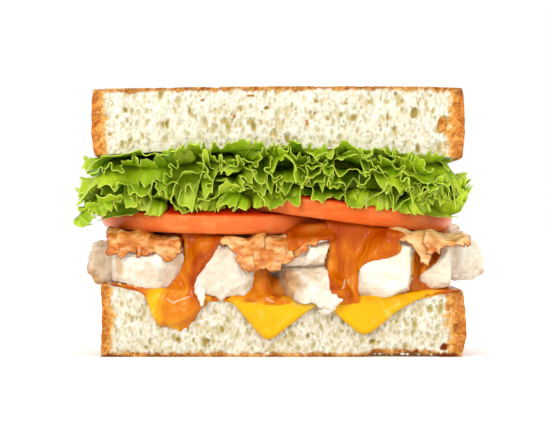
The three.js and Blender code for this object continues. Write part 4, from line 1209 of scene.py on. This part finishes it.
poured("sauce_glaze", "sauce_right", all_behind, 8, [
    (2.6, 35.4), (3.6, 40.4), (9.0, 42.6), (17.0, 43.6), (20.0, 41.0), (17.0, 38.0), (12.8, 37.4),
    (8.8, 36.6), (5.2, 34.4),
], thickness=1.3)
poured("sauce_corner", "sauce_right", meat_and_cheese, 9, [
    (44.8, 22.6), (45.6, 25.6), (48.4, 28.2), (51.6, 31.2), (53.0, 33.8), (50.6, 36.6), (46.8, 36.6),
    (44.0, 33.6), (43.2, 28.0),
], thickness=0.9, deepest=-31.0)
sauce_bed("left", -54.0, -18.2, -54.0, 15)
sauce_bed("middle", -18.8, 15.4, -60.0, 16)
sauce_bed("right", 14.8, 58.4, 58.4, 17)

# Lettuce

INSET = 10.0  # how far inside the bread's edge a leaf's curls begin
CURL_STEP = 0.5  # along the winding line of a leaf
SPRIG_STEP = 0.45


def bread_edge():
    """The bread's edge, from the middle of the back round the left side: lengths, x, y, outward x and y."""
    half_x, half_y = BREAD_WIDTH / 2 + SIDE_BULGE * 0.6, BACK
    front, back = 3.0, BACK_CORNER_RADIUS
    quarter = math.pi / 2
    line = [(0.0, half_y)]
    for cx, cy, radius, begin in (
        (back - half_x, half_y - back, back, quarter),
        (front - half_x, front - half_y, front, 2 * quarter),
        (half_x - front, front - half_y, front, 3 * quarter),
        (half_x - back, half_y - back, back, 4 * quarter),
    ):
        for a in np.linspace(begin, begin + quarter, 40):
            line.append((cx + radius * math.cos(a), cy + radius * math.sin(a)))
    line = np.array(line + line[:1])
    lengths = np.concatenate([[0], np.cumsum(np.hypot(*np.diff(line, axis=0).T))])
    s = np.linspace(0, lengths[-1], 1200)
    x, y = (np.interp(s, lengths, line[:, c]) for c in (0, 1))

    def slope(c):
        far, far_back, near, near_back = (np.interp(s + n, s, c, period=s[-1]) for n in (14, -14, 5, -5))
        return 0.5 * (far - far_back) + near - near_back

    dx, dy = slope(x), slope(y)
    size = np.hypot(dx, dy)
    return s, x, y, dy / size, -dx / size


EDGE = bread_edge()
ROUND = EDGE[0][-1]


def edge_at(s):
    return tuple(np.interp(s, EDGE[0], c, period=ROUND) for c in EDGE[1:])


def blurred_line(values, size):
    radius = int(round(3 * size / CURL_STEP))
    padded = np.pad(values, radius, mode="reflect", reflect_type="odd")
    return np.convolve(padded, bell(radius, size, CURL_STEP), mode="valid")


def meander(folds, seed):
    """A line that winds on its way round the bread: arc, way, height, then way and both, smoothed."""
    run = np.arange(0, ROUND * 5, CURL_STEP)
    heading = 0.0
    for n, (length, strength) in enumerate(folds):
        key = seed + 31 * n
        phase = 2 * math.pi * run / length + 2.6 * noise(run / (1.9 * length), 0, 0, key)
        uneven = 0.9 + 0.6 * noise(run / (2.3 * length), 5, 0, key)
        heading = heading + strength * uneven * np.sin(phase)
    heading = 2.4 * np.tanh(heading / 2.4)
    way = np.cumsum(np.cos(heading)) * CURL_STEP
    height = np.cumsum(np.sin(heading)) * CURL_STEP
    used = np.argmax(way >= ROUND)
    way, height = way[:used] * ROUND / way[used - 1], height[:used]
    height = height - blurred_line(height, 10.0)
    mean_way = blurred_line(way, 8.0)
    arc = np.arange(used) * CURL_STEP
    lines = np.array([arc, way, height, mean_way, blurred_line(way, 1.6), blurred_line(height, 1.6)])
    # Every point is kept on the cut side, and every other one of the rest
    return lines[:, (edge_at(mean_way)[1] < FRONT + 10) | (np.arange(used) % 2 == 0)]


def at_ends(x, y):
    return smooth(20, BACK, np.abs(y)) * (1 - smooth(44, 64, np.abs(x)))


def tomato_top(x, y):
    """How high the tomato slices reach, sloping off outside them."""
    heights = []
    for t in (LEFT_TOMATO, RIGHT_TOMATO):
        beyond = np.hypot(x - t["x"], y - t["y"]) - TOMATO_RADIUS
        crown = TOMATO_CROWN * smooth(-1.0, -9.0, beyond)
        slope = 0.9 * np.maximum(0, beyond + 1.5)
        heights.append(tomato_under(t, x, y) + TOMATO_THICKNESS + crown - slope)
    return np.maximum(*heights)


LOW_HEM = [
    (-68, 43), (-64, 45.5), (-60, 50.6), (-54, 52.6), (-48, 52.4), (-42, 51.8), (-37, 51.4), (-28, 50.8),
    (-21, 51), (-17, 52.6), (-12, 52.6), (-5, 52.4), (0, 53), (12, 52.4), (19, 51), (25, 51.8), (34, 50.6),
    (41, 49.8), (46, 49.4), (53, 50.4), (60, 51.5),
]
MIDDLE_HEM = [(-60, 52), (-36, 53), (-14, 57), (20, 58.5), (40, 55), (60, 52)]
# How far down any part of the leaves may reach
HEM_FLOOR = [
    (-70, 40.5), (-63, 41), (-58, 44.2), (-48, 45.6), (-36, 45), (-20, 45.6), (0, 47.4), (20, 48),
    (36, 46.2), (48, 45.4), (56, 45.2), (66, 46.4),
]


# A hem gives the height of a leaf's margin and how far it hangs out; a root, where the leaf starts
def low_hem(x, y):
    return along(LOW_HEM, x) + 0.04 * (y + BACK), mix(np.where(x < 0, 3.8, 0.6), 5.6, at_ends(x, y))


def middle_hem(x, y):
    return along(MIDDLE_HEM, x) + 0.05 * (y + BACK), mix(np.where(x < 0, 2.6, -1.0), 7.4, at_ends(x, y))


def high_hem(x, y):
    ends = at_ends(x, y) * smooth(52, 38, x)
    return top_slice_under(x) - mix(4.2, -1.4, ends), mix(np.where(x < 0, 2.2, -6.5), 7.4, ends)


def curtain_hem(x, y):
    return tomato_top(x, y) - 2.0, 0 * x


def low_root(x, y):
    return np.minimum(tomato_top(x, y) + 1.3, top_slice_under(x) - 4.0)


def high_root(x, y):
    return top_slice_under(x) - 0.5


def middle_root(x, y):
    return mix(low_root(x, y), high_root(x, y), 0.55)


def between_slices(points):
    """Keeps a leaf off the tomato and under the bread; only past the bread's edge may it rise higher."""
    x, y, z = points[..., 0], points[..., 1], points[..., 2]
    past_side = np.abs(x) - BREAD_WIDTH / 2 - 2.3
    ahead = np.maximum(past_side, np.abs(y) - BACK - 0.5)
    rise = mix(3.1 * smooth(-50, -38, x), 1.8, smooth(0.0, 2.0, past_side))
    rise = rise * (0.8 + 0.4 * noise(x / 2.2, y / 2.2, 0, 91))
    roof = top_slice_under(x) - 0.15 + rise * smooth(0.0, 3.0, ahead)
    ease, give = 1.0, 2.4
    low_roof = roof - ease
    z = np.where(z > low_roof, low_roof + ease * (1 - np.exp(-np.maximum(0, z - low_roof) / ease)), z)
    z = np.maximum(z, tomato_top(x, y) + 0.5)
    floor = along(HEM_FLOOR, x) + 0.04 * (y + BACK)
    sunk = floor + give * np.exp((np.minimum(z, floor + give) - floor - give) / give)
    return np.stack([x, y, np.where(z < floor + give, sunk, z)], -1)


def teeth(arc, seed, spacing, drift, power, least):
    """Pointed teeth along a margin."""
    saw = 1 - np.abs(2 * ((arc / spacing + 0.8 * noise(arc / drift, 0, 0, seed + 9)) % 1.0) - 1)
    return saw**power * (least + 0.5 * noise(arc / 4.1, 1, 0, seed + 10))


def blade(middle, thickness, margin, fold, rib):
    """A sheet for sheet_piece about its middle: how near the margin and how deep in a fold it is."""
    middle = between_slices(middle)
    half = grid_normals(middle) * (thickness[..., None] / 2)
    margin, rib = (np.broadcast_to(c, middle.shape[:2]) for c in (margin, rib))
    # margin and fold set the leaf's painted shade and painted highlights in its look
    attributes = {"margin": margin, "fold": np.clip(0.5 + fold, 0, 1), "rib": rib}
    return middle - half, middle + half, attributes, False


def leaf_sheet(hem, root, folds, seed, droop, longer=1.0, rise=0.0, back=0.0, pale=0.0):
    """A curly strip of leaf all round."""
    arc, way, height, mean_way, soft_way, soft_height = meander(folds, seed)
    x, y, ox, oy = edge_at(mean_way)
    hem_z, out = hem(x, y)
    wander = 3.2 * noise(mean_way / 8, 0, 0, seed + 4) + 2.4 * noise(mean_way / 19, 3, 0, seed + 6)
    hem_z = hem_z + rise + wander * mix(0.5, 1.0, at_ends(x, y))
    out = out * longer * (1 + 0.35 * noise(mean_way / 11, 0, 0, seed + 5)) - back
    root_z = root(x - ox * INSET, y - oy * INSET)
    length = np.maximum(out + INSET, 4.0)
    t = np.array([0, 0.2, 0.38, 0.54, 0.67, 0.77, 0.85, 0.91, 0.955, 0.983, 1.0])[:, None]
    tooth = teeth(arc, seed, 3.7, 8, 1.7, 0.7) * mix(2.9, 1.5, np.abs(ox))
    # The margin is cut into lobes, each with a lift of its own
    place_in = arc / 11.5 + 1.1 * noise(arc / 25, 0, 0, seed + 11)
    lobe = np.floor(place_in)
    hump = np.sin(math.pi * (place_in - lobe)) ** 0.6
    zero = np.zeros_like(lobe, np.int64)
    own = 2 * hashed(lobe.astype(np.int64), zero, zero, seed + 12) - 1
    reach = t * (1 - 0.24 * (1 - hump) * (0.5 + t)) + tooth / length * smooth(0.78, 1.0, t) ** 1.5
    begin = np.maximum(0, reach - 0.2) / 0.8
    gentle, sharp = begin**1.2, begin**3.0
    shift_way = (soft_way - mean_way) * gentle + (way - soft_way) * sharp
    shift_up = soft_height * gentle + (height - soft_height) * sharp
    off = -INSET + length * reach + 0.3 * shift_up + 1.2 * own * hump * begin**1.5
    lift = mix(root_z, hem_z, reach**droop) + shift_up + 1.8 * own * hump * begin**1.5
    px, py, ax, ay = edge_at(mean_way + shift_way)
    middle = np.stack([px + ax * off, py + ay * off, lift], -1)
    rib = arc / 2.6 + 0.5 * noise(arc / 5, 2, 0, seed + 14)
    # pale raises the margin share at the root, so that less painted shade falls there
    return blade(middle, 0.45 - 0.2 * t, mix(pale, 1.0, t), shift_up / 6, rib)


def sprig(x, z, turn, lean, size, length, seed):
    """A small curl of leaf ahead of the cut face: its hem runs at an angle, its blade leans up or down."""
    run = np.arange(0, size * 4, SPRIG_STEP)
    heading = 1.35 * np.sin(2 * math.pi * run / 9.5 + 2 * noise(run / 14, 0, 0, seed))
    heading = heading + 0.9 * np.sin(2 * math.pi * run / 4.3 + 2 * noise(run / 7, 1, 0, seed))
    way, height = np.cumsum(np.cos(heading)) * SPRIG_STEP, np.cumsum(np.sin(heading)) * SPRIG_STEP
    used = max(12, int(np.argmax(way >= size)))
    way, height = way[:used] - way[used - 1] / 2, height[:used]
    height = height - np.linspace(height[0], height[-1], used)
    share = np.linspace(-1, 1, used)
    arc = np.arange(used) * SPRIG_STEP
    t = np.array([0, 0.25, 0.45, 0.62, 0.76, 0.87, 0.95, 1.0])[:, None]
    tooth = teeth(arc, seed, 3.3, 6, 1.8, 0.75)
    outline = np.sqrt(np.maximum(0, 1 - share**2)) ** 0.7
    out = t * length * (0.25 + 0.75 * outline) + 3.0 * tooth * smooth(0.75, 1.0, t) ** 1.5
    side = share * size * 0.32 * (1 - t) + way * t
    up = height * t**1.6
    turn, lean = math.radians(turn), math.radians(lean)
    hem = np.array([math.cos(turn), 0.0, math.sin(turn)])
    across = np.array([-math.sin(turn), 0.0, math.cos(turn)])
    # The blade bends on its way out
    bend = lean * (0.35 + 0.9 * t)
    rise = out * np.sin(bend) + up * np.cos(bend)
    start = np.array([x, FRONT + 2.5, z])
    middle = start + side[..., None] * hem + rise[..., None] * across
    middle[..., 1] -= out * np.cos(bend) - up * np.sin(bend)
    # The margin share starts at 0.35, so the sprig's root gets less painted shade
    return blade(middle, 0.42 - 0.18 * t, 0.35 + 0.65 * t, up / 5, arc / 2.4)


def leaf_heart(root):
    """The flat of a leaf between the slices, inside its curly strip."""
    x, y, ox, oy = edge_at(np.linspace(0, ROUND, 120, endpoint=False))
    x, y = x - ox * (INSET - 2), y - oy * (INSET - 2)
    rows = []
    for share in (0.12, 0.4, 0.7, 1.0):
        px, py = x * share, y * share
        rows.append(np.stack([px, py, root(px, py) + 0.3 * fbm(px / 6, py / 6, 0, 5, 2)], -1))
    middle = between_slices(np.array(rows))
    half = np.array([0.0, 0.0, 0.3])
    # A margin share of 0 gives the flat the dark colour of painted shade
    zero = np.zeros(middle.shape[:2])
    return middle - half, middle + half, {"margin": zero, "fold": zero + 0.3, "rib": zero + 0.25}, True


def leaf(level, sheets, sprigs):
    sheets += [sprig(*spot) for spot in sprigs]
    return sheet_piece("leaf_" + level, "lettuce_" + level, "lettuce", sheets)


# Folds are (length, strength); sprigs are (x, z, turn, lean, size, length, seed), in degrees
BROAD = [(30, 1.05), (12, 1.0), (4.6, 0.6)]
LOOSE = [(24, 1.2), (9.5, 1.1), (4.2, 0.7)]
CURLS = [(17, 1.35), (7.5, 1.1), (3.6, 0.6)]
WAVES = [(21, 1.0), (9, 0.7)]
leaf("low", [
    leaf_sheet(low_hem, low_root, BROAD, 201, 1.6),
    leaf_sheet(low_hem, middle_root, LOOSE, 206, 1.4, 0.7, 3.4),
    leaf_heart(low_root),
], [
    (-40, 51.6, -20, -50, 10, 7.5, 301), (-30, 53, 25, -45, 12, 7, 302), (-22, 52.2, -15, -40, 12, 6.5, 303),
    (-13, 54, -35, -40, 13, 8, 304), (-2, 54.5, 8, -60, 15, 8, 305), (42, 53, 25, -55, 13, 8.5, 306),
    (51, 55.4, -16, -25, 13, 6.5, 307), (-58, 51.4, 26, -40, 13, 5.5, 300), (-64, 46.5, 42, -45, 9, 5, 299),
    (10, 55, -12, -55, 13, 8, 308), (21, 54, 12, -60, 13, 8, 309), (32, 54, -8, -50, 13, 8.5, 310),
])
leaf("middle", [
    leaf_sheet(middle_hem, high_root, BROAD, 223, 1.6, 0.8),
    leaf_sheet(middle_hem, middle_root, CURLS, 226, 1.3, 1.0, 1.5),
    leaf_heart(middle_root),
], [
    (-34, 60, 65, 5, 11, 9, 311), (-24, 59, -60, 0, 11, 9, 312), (-13, 59, 50, -15, 13, 9.5, 313),
    (-1, 59, -65, 5, 12, 9, 314), (9, 60.5, 60, 0, 12, 9.5, 315), (19, 59, -50, -10, 12, 9, 316),
    (30, 59.5, 75, 5, 12, 9.5, 317), (39, 58, -60, 0, 13, 9.5, 318), (48, 56, 40, -15, 12, 9.5, 319),
])
leaf("high", [
    leaf_sheet(high_hem, high_root, LOOSE, 241, 2.6, pale=0.4),
    leaf_sheet(curtain_hem, high_root, WAVES, 245, 1.3, back=4.0, pale=0.25),
    leaf_heart(high_root),
], [
    (-33, 62, 12, 20, 14, 7, 321), (-20, 63, -15, 15, 12, 7.5, 322), (-9, 63, 20, 5, 14, 8, 323),
    (3, 63.5, -12, 22, 12, 7.5, 324), (14, 63, 15, 8, 14, 8, 325), (25, 62.5, -20, 20, 12, 7.5, 326),
    (35, 61.5, 12, 8, 13, 7.5, 327), (44, 60, -15, 18, 12, 7.5, 328), (-56, 61.5, 12, -5, 13, 6, 329),
    (-45, 61.5, -10, 12, 13, 6.5, 320), (-27, 64.6, 20, 50, 13, 6, 330), (-12, 65, -22, 55, 13, 6, 331),
    (2, 65.2, 15, 50, 12, 6, 332), (18, 65, -18, 55, 13, 6, 333), (31, 64.4, 14, 50, 13, 6, 334),
    (42, 63.6, -14, 45, 12, 5.5, 335), (10, 65.2, -16, 45, 11, 5.5, 336), (36.5, 64.2, 18, 40, 10, 5.5, 337),
    (49, 62.8, 12, 40, 11, 5.5, 338),
])

# Stage, light and camera, in metres


def stage_floor(size=6000.0):
    look = Look("floor")
    look.set(Base_Color=(0.88, 0.88, 0.88, 1.0), Roughness=0.9, Specular_IOR_Level=0.1)
    look.set(Emission_Color=(1.0, 1.0, 1.0, 1.0), Emission_Strength=0.13)
    points = [(-size, -size, 0), (size, -size, 0), (size, size, 0), (-size, size, 0)]
    obj = mesh_object("floor", points, [(0, 1, 2, 3)])
    obj.data.materials.append(look.material)


def lamp(name, place_at, size, watts, colour=(1, 1, 1), aim=(0, 0, 0.045)):
    data = bpy.data.lights.new(name, "AREA")
    data.shape = "RECTANGLE"
    data.size, data.size_y = size
    data.energy = watts
    data.color = colour
    obj = bpy.data.objects.new(name, data)
    obj.location = place_at
    obj.rotation_euler = (Vector(aim) - Vector(place_at)).to_track_quat("-Z", "Y").to_euler()
    bpy.context.scene.collection.objects.link(obj)


stage_floor()
world = bpy.data.worlds.new("studio")
world.use_nodes = True
world.node_tree.nodes["Background"].inputs["Color"].default_value = (1.0, 1.0, 1.0, 1.0)
world.node_tree.nodes["Background"].inputs["Strength"].default_value = 1.0
bpy.context.scene.world = world
lamp("key", (-0.42, -0.85, 0.5), (0.35, 0.3), 5.2, (1.0, 0.98, 0.95))
lamp("fill", (0.6, -0.7, 0.35), (0.4, 0.4), 1.5, (1.0, 0.99, 0.96))
lamp("back", (0.1, 0.8, 0.8), (0.5, 0.4), 4.0)
bpy.context.scene.view_settings.view_transform = "Standard"
bpy.context.scene.view_settings.exposure = 0.0

PHOTO_WIDTH = 550  # pixels
CUT_FACE_WIDTH = 370  # pixels
PIXEL = BREAD_WIDTH / CUT_FACE_WIDTH * MM  # metres on the cut face for each pixel of the photo
DISTANCE = 0.70  # from the camera to the cut face
SENSOR = 36.0
camera_data = bpy.data.cameras.new("camera")
camera_data.sensor_width = SENSOR
camera_data.lens = SENSOR * DISTANCE / (PHOTO_WIDTH * PIXEL)
camera = bpy.data.objects.new("camera", camera_data)
camera.location = (-0.001, FRONT * MM - DISTANCE, 0.0444)
camera.rotation_euler = (math.pi / 2, 0, 0)
bpy.context.scene.collection.objects.link(camera)
bpy.context.scene.camera = camera
